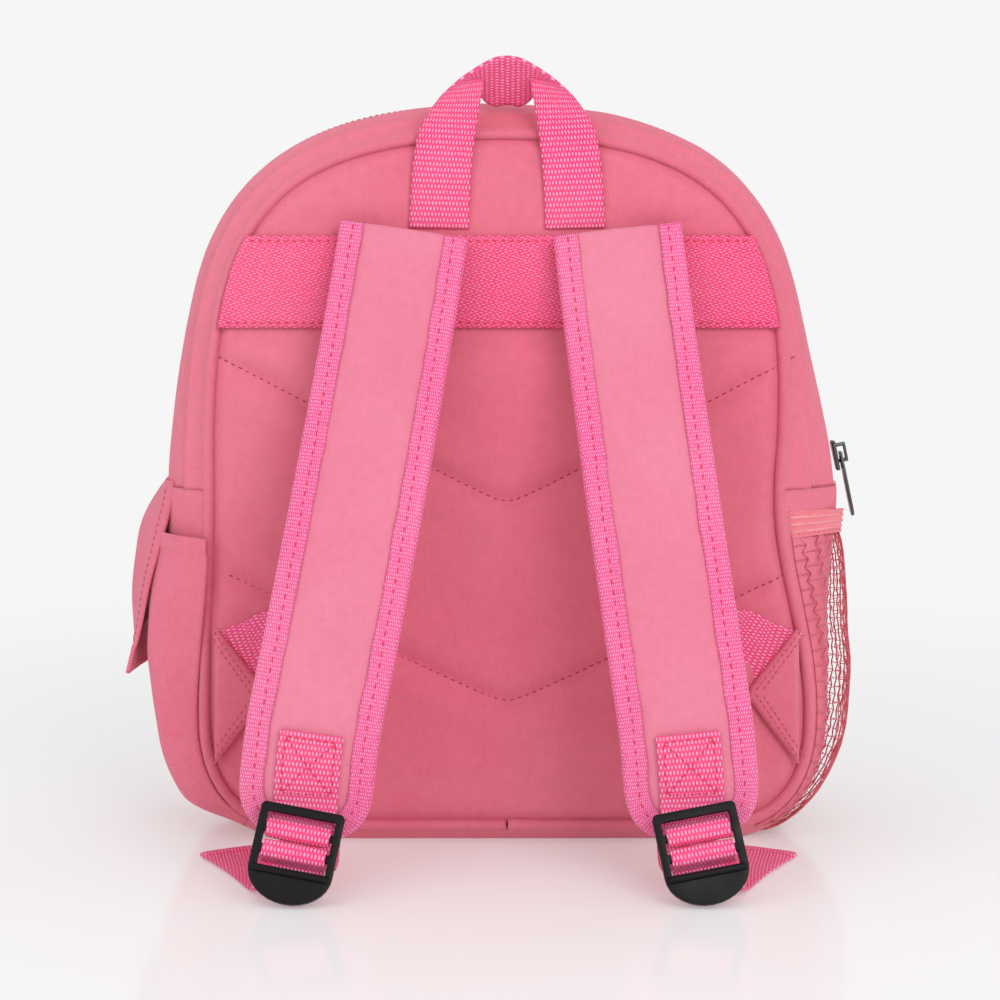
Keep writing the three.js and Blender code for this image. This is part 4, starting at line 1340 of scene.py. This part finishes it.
def sweep(name, strip, finish, body, stands_for=(), ends=(0.0, 1.0), half=None, thick=None, columns=90,
          swell_of=None, waver=0.25 * MM):
    """Webbing with a rounded section, swept along a strip. swell_of(u) scales its thickness."""
    half = half or strip.half
    thick = thick or strip.thick

    def place(u, v):
        along = ends[0] + (ends[1] - ends[0]) * u
        turn = 2 * math.pi * v
        c, s = math.cos(turn), math.sin(turn)
        x = half * math.copysign(abs(c) ** 0.3, c)
        n = thick * math.copysign(abs(s) ** 0.6, s) * (swell_of(along) if swell_of else 1)
        point = strip.at(along, x, n)
        lump = noise.noise(point * 55) * waver
        return point + strip.frame(along)[2] * lump, (along * strip.length, x + (0.1 if s < 0 else 0))

    bm = formed(columns, 28, place, closed=True, capped=True)
    return piece(name, bm, finish, body, stands_for)


def side_row(bm, strip, offset, ends, lift, pitch=3.4 * MM, thick=0.6 * MM, count=40):
    """Stitches running along a strip at an offset from its middle."""
    line = [strip.at(ends[0] + (ends[1] - ends[0]) * k / count, offset, lift) for k in range(count + 1)]
    sew(bm, line, lambda p: strip.frame(0.5 * (ends[0] + ends[1]))[2], pitch, thick)


def cross_row(bm, strip, u, half, lift, pitch=3.0 * MM, thick=0.6 * MM):
    sew(bm, [strip.at(u, -half, lift), strip.at(u, half, lift)], strip.frame(u)[2], pitch, thick)


# %% [markdown]
# ## Carry handle
# The handle is one length of webbing whose two ends hang flat on the back. On its way over the top it
# turns about its own line, so that its outer edge comes to the front and its inner edge folds behind.
# A strip with a plain middle line can't say that, so both edges are given and the cloth is ruled
# between them. Its coarse weave shows thread ends in rows, with their highlights painted in as pale dashes.

# %% Handle
foot_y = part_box("handle_loop")[1].y - 0.7 * MM
handle_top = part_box("handle_loop")[1].z
OUTER_EDGE = (
    (-40.3, 0, -71), (-39.5, -0.4, -58), (-38.3, -1.1, -44), (-35.5, -2.4, -31), (-28, -4.4, -19),
    (-20, -5.9, -12), (-14, -6.4, -7.8), (-10, -6.4, -5.3), (-5, -6.4, -2.8), (0, -6.4, -2.1),
)
INNER_EDGE = (
    (-15.6, 0, -71.5), (-15.2, -0.4, -58), (-14.2, -1.3, -44), (-12.6, -2.7, -31), (-10.8, -3.9, -20),
    (-9.6, -3.8, -13), (-9.4, 0.5, -11), (-10.6, 6.5, -17), (-6, 9.5, -21), (0, 10, -20.4),
)


def both_halves(edge, count):
    left = [Vector((x * MM, foot_y + y * MM, handle_top + z * MM)) for x, y, z in edge]
    right = [Vector((-p.x, p.y, p.z)) for p in reversed(left[:-1])]
    return smooth_line(left + right, count)


outer_line, inner_line = both_halves(OUTER_EDGE, 201), both_halves(INNER_EDGE, 201)
handle_length = length_of(outer_line)


def handle_place(u, v):
    i = round(u * 200)
    point = outer_line[i].lerp(inner_line[i], v)
    point.y += 0.15 * MM * noise.noise(point * 90)
    return point, (u * handle_length, v * 25 * MM)


handle_ends = (Vector((0, foot_y, handle_top - 68 * MM)), Vector((0, foot_y, handle_top - 56 * MM)))
handle_bm = face_away(formed(200, 14, handle_place))
handle = piece(
    "carry_handle", handle_bm, HANDLE, ("bag", "handle", *handle_ends), "handle_loop",
    thick=1.3 * MM, lean=0.0,
)

# %% [markdown]
# ## Shoulder straps
# A strap is foam between two cloths, bound all round its edge with a folded tape. The pad is a closed
# form, fuller in the middle and pinched where the tape holds it. The tape is a strip folded round the
# edge, swept along the outline of the pad: down one side, round the end and up the other.

# %% Strap shape
PAD_FULL, PAD_EDGE = 3.7 * MM, 2.3 * MM
TAPE_WIDE = 9.7 * MM
TAPE_PROUD = 0.85 * MM
END_ROUND = 24 * MM
straps = {
    side: Strip(f"strap_face_{side}", (sign * 0.04, -0.057, 0.258), (1, 0, 0)) for side, sign in SIDES.items()
}
STRAP_HALF = 26 * MM
FACE_RISE = 2.7 * MM
RUN_ON = 0.93


def strap_end(strip):
    """The strap's whole length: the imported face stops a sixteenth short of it."""
    return strip.length * 16 / 15


def half_at(l, length):
    past = (l - (length - END_ROUND)) / END_ROUND
    return STRAP_HALF * (1 - min(1, max(0, past)) ** 2.6) ** (1 / 2.6)


def pad_half(x, l, length):
    inside = min(half_at(l, length) - abs(x), length - l)
    return PAD_EDGE + (PAD_FULL - PAD_EDGE) * smoothstep(5 * MM, 15 * MM, inside)


def on_strap(strip, x, l, n):
    """A point x across and l down a strap, n off the middle of its thickness."""
    u = l / strip.length
    if u <= RUN_ON:
        return strip.at(u, x, n - FACE_RISE)
    middle, wide, normal, ahead = strip.frame(RUN_ON)
    return middle + wide * x + normal * (n - FACE_RISE) + ahead * (u - RUN_ON) * strip.length


def strap_outline(length, count):
    straight = [(length - END_ROUND) * k / 40 for k in range(41)]
    points = [(-STRAP_HALF, l) for l in straight]
    for k in range(1, 16):
        turn = math.pi * k / 16
        c, s = math.cos(turn), math.sin(turn)
        x = -STRAP_HALF * math.copysign(abs(c) ** (2 / 2.6), c)
        points.append((x, length - END_ROUND + END_ROUND * abs(s) ** (2 / 2.6)))
    points += [(STRAP_HALF, l) for l in reversed(straight)]
    return smooth_line([Vector((x, l, 0)) for x, l in points], count)


# %% Strap pads and binding
# The share of the binding tape that rolls over the strap's edge, and how deep that roll is.
NOSE, NOSE_DEEP = 0.25, 2.4 * MM


def add_strap(side):
    strip = straps[side]
    length = strap_end(strip)
    body = f"{side}_strap"

    def pad_place(u, v):
        l = (length - 1.2 * MM) * u
        turn = 2 * math.pi * v
        c, s = math.cos(turn), math.sin(turn)
        x = (half_at(l, length) - 0.6 * MM) * math.copysign(abs(c) ** 0.55, c)
        n = pad_half(x, l, length) * math.copysign(abs(s) ** 0.35, s)
        point = on_strap(strip, x, l, n)
        lump = 0.45 * MM * noise.noise(point * 38) * smoothstep(0, 20 * MM, length - l)
        return point + strip.frame(l / strip.length)[2] * lump, (x + (0.08 if s < 0 else 0), l)

    bm = formed(150, 72, pad_place, closed=True, capped=True)
    names = [f"strap_{part}_{side}" for part in ("face", "backing", "foam")]
    pad = piece(f"strap_pad_{side}", bm, STRAP, body, names)
    edge = strap_outline(length, 421)
    edge_length = length_of(edge)
    inward = []
    for i in range(len(edge)):
        ahead = edge[min(i + 2, 420)] - edge[max(i - 2, 0)]
        inward.append(Vector((ahead.y, -ahead.x, 0)).normalized() * -1)
    if inward[10].x < 0:
        inward = [-v for v in inward]

    def tape_point(i, s, lift=0.0):
        """s runs from -1, the tape's edge at the back, over the strap's edge to 1, its edge in front."""
        over_edge = abs(s) < NOSE
        if over_edge:
            turn = s / NOSE * math.pi / 2
            d, n = NOSE_DEEP * (1 - math.cos(turn)), (PAD_EDGE + TAPE_PROUD) * math.sin(turn)
        else:
            d = NOSE_DEEP + (abs(s) - NOSE) / (1 - NOSE) * (TAPE_WIDE - NOSE_DEEP)
        ripple = Vector((edge[i].x * 90, edge[i].y * 90, s))
        d += 0.5 * MM * noise.noise(ripple) * abs(s) - 0.5 * MM
        x, l = edge[i].x + inward[i].x * d, edge[i].y + inward[i].y * d
        if not over_edge:
            fine = Vector((edge[i].x * 260, edge[i].y * 260, s * 3))
            proud = TAPE_PROUD + 0.16 * MM * noise.noise(fine) + lift
            n = math.copysign(pad_half(x, min(l, length), length) + proud, s)
        return on_strap(strip, x, l, n)

    def tape_place(u, v):
        i = round(u * 420)
        s = 1 - 2 * v
        return tape_point(i, s), (i / 420 * edge_length, s * TAPE_WIDE * 1.15)

    bm = face_away_from_strap(formed(420, 20, tape_place), strip)
    packed = f"strap_binding_{side}"
    tape = piece(f"edge_binding_{side}", bm, BINDING, body, packed, thick=0.7 * MM)
    rows = bmesh.new()
    for s in (-0.6, 0.6):
        line = [tape_point(i, s, 0.12 * MM) for i in range(0, 421, 4)]
        sign = math.copysign(1, s)
        sew(rows, line, lambda p: nearest_normal(strip, p) * sign, 4.2 * MM, 0.62 * MM, 0.6)
    piece(f"stitches_binding_{side}", rows, RED_THREAD, body)


def nearest_normal(strip, point):
    k = min(range(0, len(strip.line), 6), key=lambda i: (strip.line[i] - point).length_squared)
    return strip.frame(k / (len(strip.line) - 1))[2]


def face_away_from_strap(bm, strip):
    """Turns the folded tape so that its faces point away from the pad's middle line."""
    bm.normal_update()
    lean = 0.0
    for face in list(bm.faces)[::7]:
        middle = face.calc_center_median()
        k = min(range(0, len(strip.line), 6), key=lambda i: (strip.line[i] - middle).length_squared)
        core = strip.at(k / (len(strip.line) - 1), 0, -FACE_RISE)
        lean += (middle - core).normalized().dot(face.normal)
    if lean < 0:
        bmesh.ops.reverse_faces(bm, faces=bm.faces)
    return bm


for side in SIDES:
    add_strap(side)

# %% [markdown]
# ## Locks and the webbing through them
# A ladder lock is a moulded frame with bars. One webbing ties it to the strap, looped round the top bar;
# the strap's free webbing comes up from behind, passes over the next bar and leaves as a loose tail.


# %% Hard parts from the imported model
def eased(name, node, finish, body, width, segments=3):
    """A hard part with its edges rounded, standing in for the node."""
    bm = merged_copy(node)
    bmesh.ops.dissolve_limit(bm, angle_limit=math.radians(4), verts=bm.verts, edges=bm.edges)
    sharp = [e for e in bm.edges if len(e.link_faces) == 2 and e.calc_face_angle(0) > math.radians(35)]
    bmesh.ops.bevel(
        bm, geom=sharp, offset=width, offset_type="OFFSET", segments=segments, profile=0.5,
        affect="EDGES", material=-1, clamp_overlap=True,
    )
    bmesh.ops.triangulate(bm, faces=[f for f in bm.faces if len(f.verts) > 4])
    bmesh.ops.recalc_face_normals(bm, faces=bm.faces)
    return piece(name, bm, finish, body, node)


def plane_of(node, across):
    """The frame of a flat part: its middle, and axes across it, up along it and off its face."""
    bm = merged_copy(node)
    bm.normal_update()
    towards = {}
    for face in bm.faces:
        key = tuple(round(c, 2) for c in face.normal)
        towards[key] = towards.get(key, 0) + face.calc_area()
    normal = Vector(max(towards, key=towards.get)).normalized()
    if normal.y > 0:
        normal = -normal
    wide = Vector(across)
    wide = (wide - normal * wide.dot(normal)).normalized()
    up = normal.cross(wide)
    spots = [vert.co.copy() for vert in bm.verts]
    bm.free()
    return wide, up, normal, spots


LOCK_TONGUE = 25.5 * MM
PATCH_RINGS, LOOP_RINGS = 4, 15
for side, sign in SIDES.items():
    body, lock = f"{side}_strap", f"{side}_lock"
    eased(f"lock_{side}", f"ladder_lock_{side}", PLASTIC, lock, 0.7 * MM)
    axis = Vector(joints[f"{side}_lock_tilt"].get("axis", (1, 0, 0)))
    wide, up, normal, spots = plane_of(f"ladder_lock_{side}", axis if axis.x > 0 else -axis)
    if up.z < 0:
        up = -up
    top = max(s.dot(up) for s in spots)
    face = max(s.dot(normal) for s in spots)
    edges = [pick(s.dot(wide) for s in spots) for pick in (min, max)]
    middle = sum(edges) / 2
    half_lock = (edges[1] - edges[0]) / 2

    def lock_point(x, down, off):
        return wide * (middle + x) + up * (top - down) + normal * (face + off)

    reach = 0.93 * half_lock
    lip = [lock_point(reach * (k / 12 - 1), LOCK_TONGUE + 0.6 * MM, 0.2 * MM) for k in range(25)]
    tube(f"lock_lip_{side}", lip, 1.5 * MM, PLASTIC, lock, sides=12)
    tab_names = (f"lock_tab_patch_{side}", f"lock_tab_loop_{side}")
    tab = Strip(tab_names, straps[side].at(0.8), (1, 0, 0), fine=300)
    patch_share = tab.joins[PATCH_RINGS - 1] / tab.joins[-1]
    start, end = tab.at(patch_share + 0.02), tab.at(patch_share + 0.2)
    tab_web = sweep(
        f"lock_tab_{side}",
        tab,
        HANDLE,
        (body, lock, start, end),
        tab_names,
        thick=0.65 * MM,
        columns=150,
        waver=0.1 * MM,
    )
    tab_rows = bmesh.new()
    inner = tab.half - 2.6 * MM
    u0, u1 = 2.6 * MM / tab.length, patch_share - 3 * MM / tab.length
    for u in (u0, u1):
        cross_row(tab_rows, tab, u, inner, 0.8 * MM)
    for x in (-inner, inner):
        side_row(tab_rows, tab, x, (u0, u1), 0.8 * MM, count=12)
    for flip in (-1, 1):
        line = [tab.at(u0 + (u1 - u0) * k / 12, flip * inner * (2 * k / 12 - 1), 0.8 * MM) for k in range(13)]
        sew(tab_rows, line, tab.frame(u0)[2], 3.0 * MM, 0.6 * MM)
    piece(f"stitches_tab_{side}", tab_rows, RED_THREAD, body)
    near_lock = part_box(f"lower_webbing_{side}")[0]
    free_names = (f"adjuster_loop_{side}", f"webbing_tail_{side}")
    free_end = Strip(free_names, near_lock, (1, 0, 0), fine=300)
    loop_share = free_end.joins[LOOP_RINGS - 1] / free_end.joins[-1]
    start, end = free_end.at(loop_share - 0.02), free_end.at(loop_share + 0.1)
    hem = 7 * MM / free_end.length
    tail = sweep(
        f"adjuster_webbing_{side}",
        free_end,
        HANDLE,
        (lock, body, start, end),
        free_names,
        thick=0.65 * MM,
        columns=170,
        swell_of=lambda u, hem=hem: 1 + 1.0 * smoothstep(1 - hem, 1 - hem * 0.8, u),
        waver=0.12 * MM,
    )
    tail_rows = bmesh.new()
    cross_row(tail_rows, free_end, 1 - hem * 0.75, tab.half * 0.85, 1.3 * MM)
    piece(f"stitches_tail_{side}", tail_rows, RED_THREAD, body)
    under = Strip(f"lower_webbing_{side}", (sign * 0.111, -0.047, 0.081), (sign, 0, -1), fine=300)
    low = sweep(
        f"lower_strap_{side}",
        under,
        HANDLE,
        ("bag", body, under.at(0.02), under.at(0.3)),
        f"lower_webbing_{side}",
        ends=(-8 * MM / under.length, 1.0),
        columns=120,
        waver=0.2 * MM,
    )

# %% [markdown]
# ## Corner tabs and the pocket flap
# A tab is a folded triangle of body cloth caught in the side seam, holding the lower webbing. The flap
# hangs from the gusset over the pouch, stiff with hook-and-loop tape behind it and hemmed at its end.


# %% Corner tabs
def corner_tab(side, sign):
    low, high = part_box(f"corner_tab_{side}")
    tip = low.x if sign > 0 else high.x
    bm = merged_copy(f"corner_tab_{side}")
    outline = sorted(
        {(round(v.co.x, 5), round(v.co.z, 5)) for v in bm.verts},
        key=lambda p: math.atan2(p[1] - (low.z + high.z) / 2, p[0] - (low.x + high.x) / 2),
    )
    bm.free()
    dense = []
    for a, b in zip(outline, outline[1:] + outline[:1]):
        steps = max(1, round(math.hypot(b[0] - a[0], b[1] - a[1]) / (0.8 * MM)))
        dense += [(a[0] + (b[0] - a[0]) * k / steps, a[1] + (b[1] - a[1]) * k / steps) for k in range(steps)]

    def lie(x, z):
        rim = min(math.hypot(px - x, pz - z) for px, pz in dense[::3])
        dents = 0.3 * MM * noise.noise(Vector((x * 60, 0, z * 60)))
        return low.y + 0.9 * MM * math.exp(-((rim / (1.3 * MM)) ** 2)) - dents

    bm = trimmed(dense, 1.1 * MM, lie, -1)
    tab = piece(f"tab_cloth_{side}", bm, BODY, "bag", f"corner_tab_{side}", thick=1.6 * MM)
    rows = bmesh.new()
    middle = Vector(((low.x + high.x) / 2, 0, (low.z + high.z) / 2))
    top = max(outline, key=lambda p: p[1])
    bottom = min(outline, key=lambda p: p[1])
    point = min(outline, key=lambda p: abs(p[0] - tip))
    for corner in (top, bottom):
        a, b = Vector((corner[0], 0, corner[1])), Vector((point[0], 0, point[1]))
        along = (b - a).normalized()
        inside = Vector((-along.z, 0, along.x))
        inside = inside if inside.dot(middle - a) > 0 else -inside
        for offset in (1.8, 4.0):
            start = a + inside * offset * MM + along * MM
            end = b + (inside - along) * offset * MM
            line = [start.lerp(end, k / 10) for k in range(11)]
            for p in line:
                p.y = lie(p.x, p.z) - 0.2 * MM
            sew(rows, line, (0, -1, 0), 2.8 * MM, 0.5 * MM)
    sewn_piece(f"stitches_corner_{side}", rows, TONAL, "bag")


for side, sign in SIDES.items():
    corner_tab(side, sign)

# %% Pocket flap and its hook-and-loop tape
flap_low, flap_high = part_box("side_pocket_flap")
FLAP_TOP = share_at(flap_high.z - 3 * MM, "left")
FLAP_LONG = 0.086
HEM_START = 0.9


def flap_at(u, v, lift=0.0):
    """u runs down the flap, v from its rear edge forwards. Its rear corner swings out at the foot."""
    y = flap_low.y + (flap_high.y - flap_low.y) * v
    top = on_gusset(FLAP_TOP, y, 1.6 * MM)
    foot = Vector(((-162 + 3 * v) * MM, y, flap_low.z - (5.5 + 3.5 * v) * MM))
    bend = top + Vector((-(5.6 + 18.4 * smoothstep(0, 0.45, v)) * MM, 0, -22 * MM))
    point = top * (1 - u) ** 2 + bend * 2 * u * (1 - u) + foot * u * u
    curl = 1.0 * MM * math.exp(-(((u - 0.25) / 0.18) ** 2)) * smoothstep(0.35, 0.0, v)
    ripple = 0.9 * MM * noise.noise(Vector((u * 4, v * 3, 7.0))) * smoothstep(0, 0.3, u)
    away = Vector((-0.95, -0.3, 0.2)).normalized()
    return point + away * (ripple - curl + lift)


def flap_place(u, v):
    hem = 0.5 * MM * smoothstep(HEM_START - 0.01, HEM_START + 0.01, u)
    return flap_at(u, v, hem), (u * FLAP_LONG, v * (flap_high.y - flap_low.y))


flap_body = ("bag", "pocket_flap", flap_at(0.03, 0.5), flap_at(0.22, 0.5))
flap_bm = face_away(formed(80, 60, flap_place))
flap_piece = piece(
    "pocket_flap_cloth", flap_bm, BODY, flap_body, "side_pocket_flap", thick=1.6 * MM
)
flap_rows = bmesh.new()
flap_out = (-0.95, -0.3, 0.2)
sew(flap_rows, [flap_at(HEM_START - 0.015, k / 20, 0.2 * MM) for k in range(1, 20)], flap_out, 3.0 * MM)
for v in (0.06, 0.94):
    sew(flap_rows, [flap_at(k / 30, v, 0.2 * MM) for k in range(2, 27)], flap_out, 3.0 * MM)
piece("stitches_flap", flap_rows, TONAL, flap_body)


def hooks_place(u, v):
    return flap_at(0.62 + 0.22 * u, 0.25 + 0.5 * v, -2.6 * MM), (u * 0.018, v * 0.03)


hooks_bm = face_away(formed(20, 30, hooks_place))
hooks_piece = piece(
    "flap_hooks", hooks_bm, HOOKS, "pocket_flap", "side_pocket_hook_patch", thick=1.0 * MM
)


def loops_place(u, v):
    return on_pouch(0.62 + 0.16 * u, 0.32 + 0.36 * v, 0.9 * MM), (u * 0.018, v * 0.03)


loops_piece = piece(
    "pouch_loops", face_away(formed(20, 30, loops_place)), HOOKS, "bag", "side_pocket_loop_patch",
    thick=0.9 * MM,
)

# %% [markdown]
# ## Sliders
# Zip sliders are die-cast and plated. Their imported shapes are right, so their edges are rounded and
# the pullers get the same treatment, which is what makes small metal parts catch a highlight.

# %% Sliders
for which in ("main", "front"):
    eased(f"{which}_zip_slider", f"{which}_slider", GUNMETAL, f"{which}_slider", 0.45 * MM)
    eased(f"{which}_zip_puller", f"{which}_puller", GUNMETAL, f"{which}_puller", 0.35 * MM)

# %% [markdown]
# ## Inside
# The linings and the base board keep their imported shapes, which are right as they are, and only get
# their cloth and board finishes. They show when the front is folded down.

# %% Inner finishes
INSIDE = {
    "back_panel_lining": LINING,
    "front_lining_lower": LINING,
    "front_lining_upper": LINING,
    "lower_gusset_lining": LINING,
    "base_board": BOARD,
}
for node, finish in INSIDE.items():
    shown = nodes[node]
    shown.data.materials.clear()
    shown.data.materials.append(finish)
print("inner nodes finished:", sorted(INSIDE))

# %% [markdown]
# ## Floor and light
# The bag stands in a white studio: a pale, faintly glossy floor that runs into a pale background, even
# light all round, and a little more from the front and above so that the padding and seams read.

# %% Floor, light and view
scene = bpy.context.scene
scene.view_settings.view_transform = "Standard"
PALE = srgb(246, 246, 246)
floor_mat, g, shader = new_material("studio_floor")
here = g.node("ShaderNodeTexCoord").outputs["Object"]
grain = g.ramp(g.noise(here, 3.0, 2.0), 0.3, 0.7, 0.0, 1.0)
g.put(shader.inputs["Base Color"], g.mix(grain, (0.92, 0.92, 0.92, 1), (0.94, 0.94, 0.94, 1)))
shader.inputs["Roughness"].default_value = 0.14
shader.inputs["Specular IOR Level"].default_value = 0.3
far = g.node("ShaderNodeVectorMath", {"operation": "LENGTH"})
g.put(far.inputs[0], here)
glow = g.node("ShaderNodeEmission", Color=PALE, Strength=1.0)
merge = g.node("ShaderNodeMixShader")
g.put(merge.inputs[0], g.ramp(far.outputs["Value"], 0.08, 0.75, 0.25, 1.0))
g.put(merge.inputs[1], shader.outputs[0])
g.put(merge.inputs[2], glow.outputs[0])
g.put(floor_mat.node_tree.nodes["Material Output"].inputs["Surface"], merge.outputs[0])
floor_bm = bmesh.new()
bmesh.ops.create_circle(floor_bm, cap_ends=True, radius=30.0, segments=64)
floor_mesh = bpy.data.meshes.new("floor")
floor_bm.to_mesh(floor_mesh)
floor_bm.free()
floor_mesh.materials.append(floor_mat)
floor = bpy.data.objects.new("floor", floor_mesh)
bpy.context.collection.objects.link(floor)
floor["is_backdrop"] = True

world = bpy.data.worlds.new("studio")
world.use_nodes = True
scene.world = world
g = Graph(world.node_tree)
g.tree.nodes.clear()
seen = g.node("ShaderNodeLightPath").outputs["Is Camera Ray"]
soft = g.node("ShaderNodeBackground", Color=(1, 1, 1, 1), Strength=0.8)
plain_back = g.node("ShaderNodeBackground", Color=PALE, Strength=1.0)
both = g.node("ShaderNodeMixShader")
g.put(both.inputs[0], seen)
g.put(both.inputs[1], soft.outputs[0])
g.put(both.inputs[2], plain_back.outputs[0])
g.node("ShaderNodeOutputWorld", Surface=both.outputs[0])


def softbox(name, place, target, size, watts):
    data = bpy.data.lights.new(name, "AREA")
    data.shape = "SQUARE"
    data.size = size
    data.energy = watts
    lamp = bpy.data.objects.new(name, data)
    lamp.location = place
    lamp.rotation_euler = (Vector(target) - Vector(place)).to_track_quat("-Z", "Y").to_euler()
    bpy.context.collection.objects.link(lamp)


softbox("key", (0.7, -1.5, 0.9), (0, 0, 0.14), 0.9, 11)
softbox("fill", (-1.0, -1.1, 0.8), (0, 0, 0.15), 0.9, 4)

# %% Sizes and finish
both_boxes = {"cad": [list(v) for v in (cad_low, cad_high)], "visual": [list(v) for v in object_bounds()]}
print({key: [[round(c, 4) for c in v] for v in value] for key, value in both_boxes.items()})
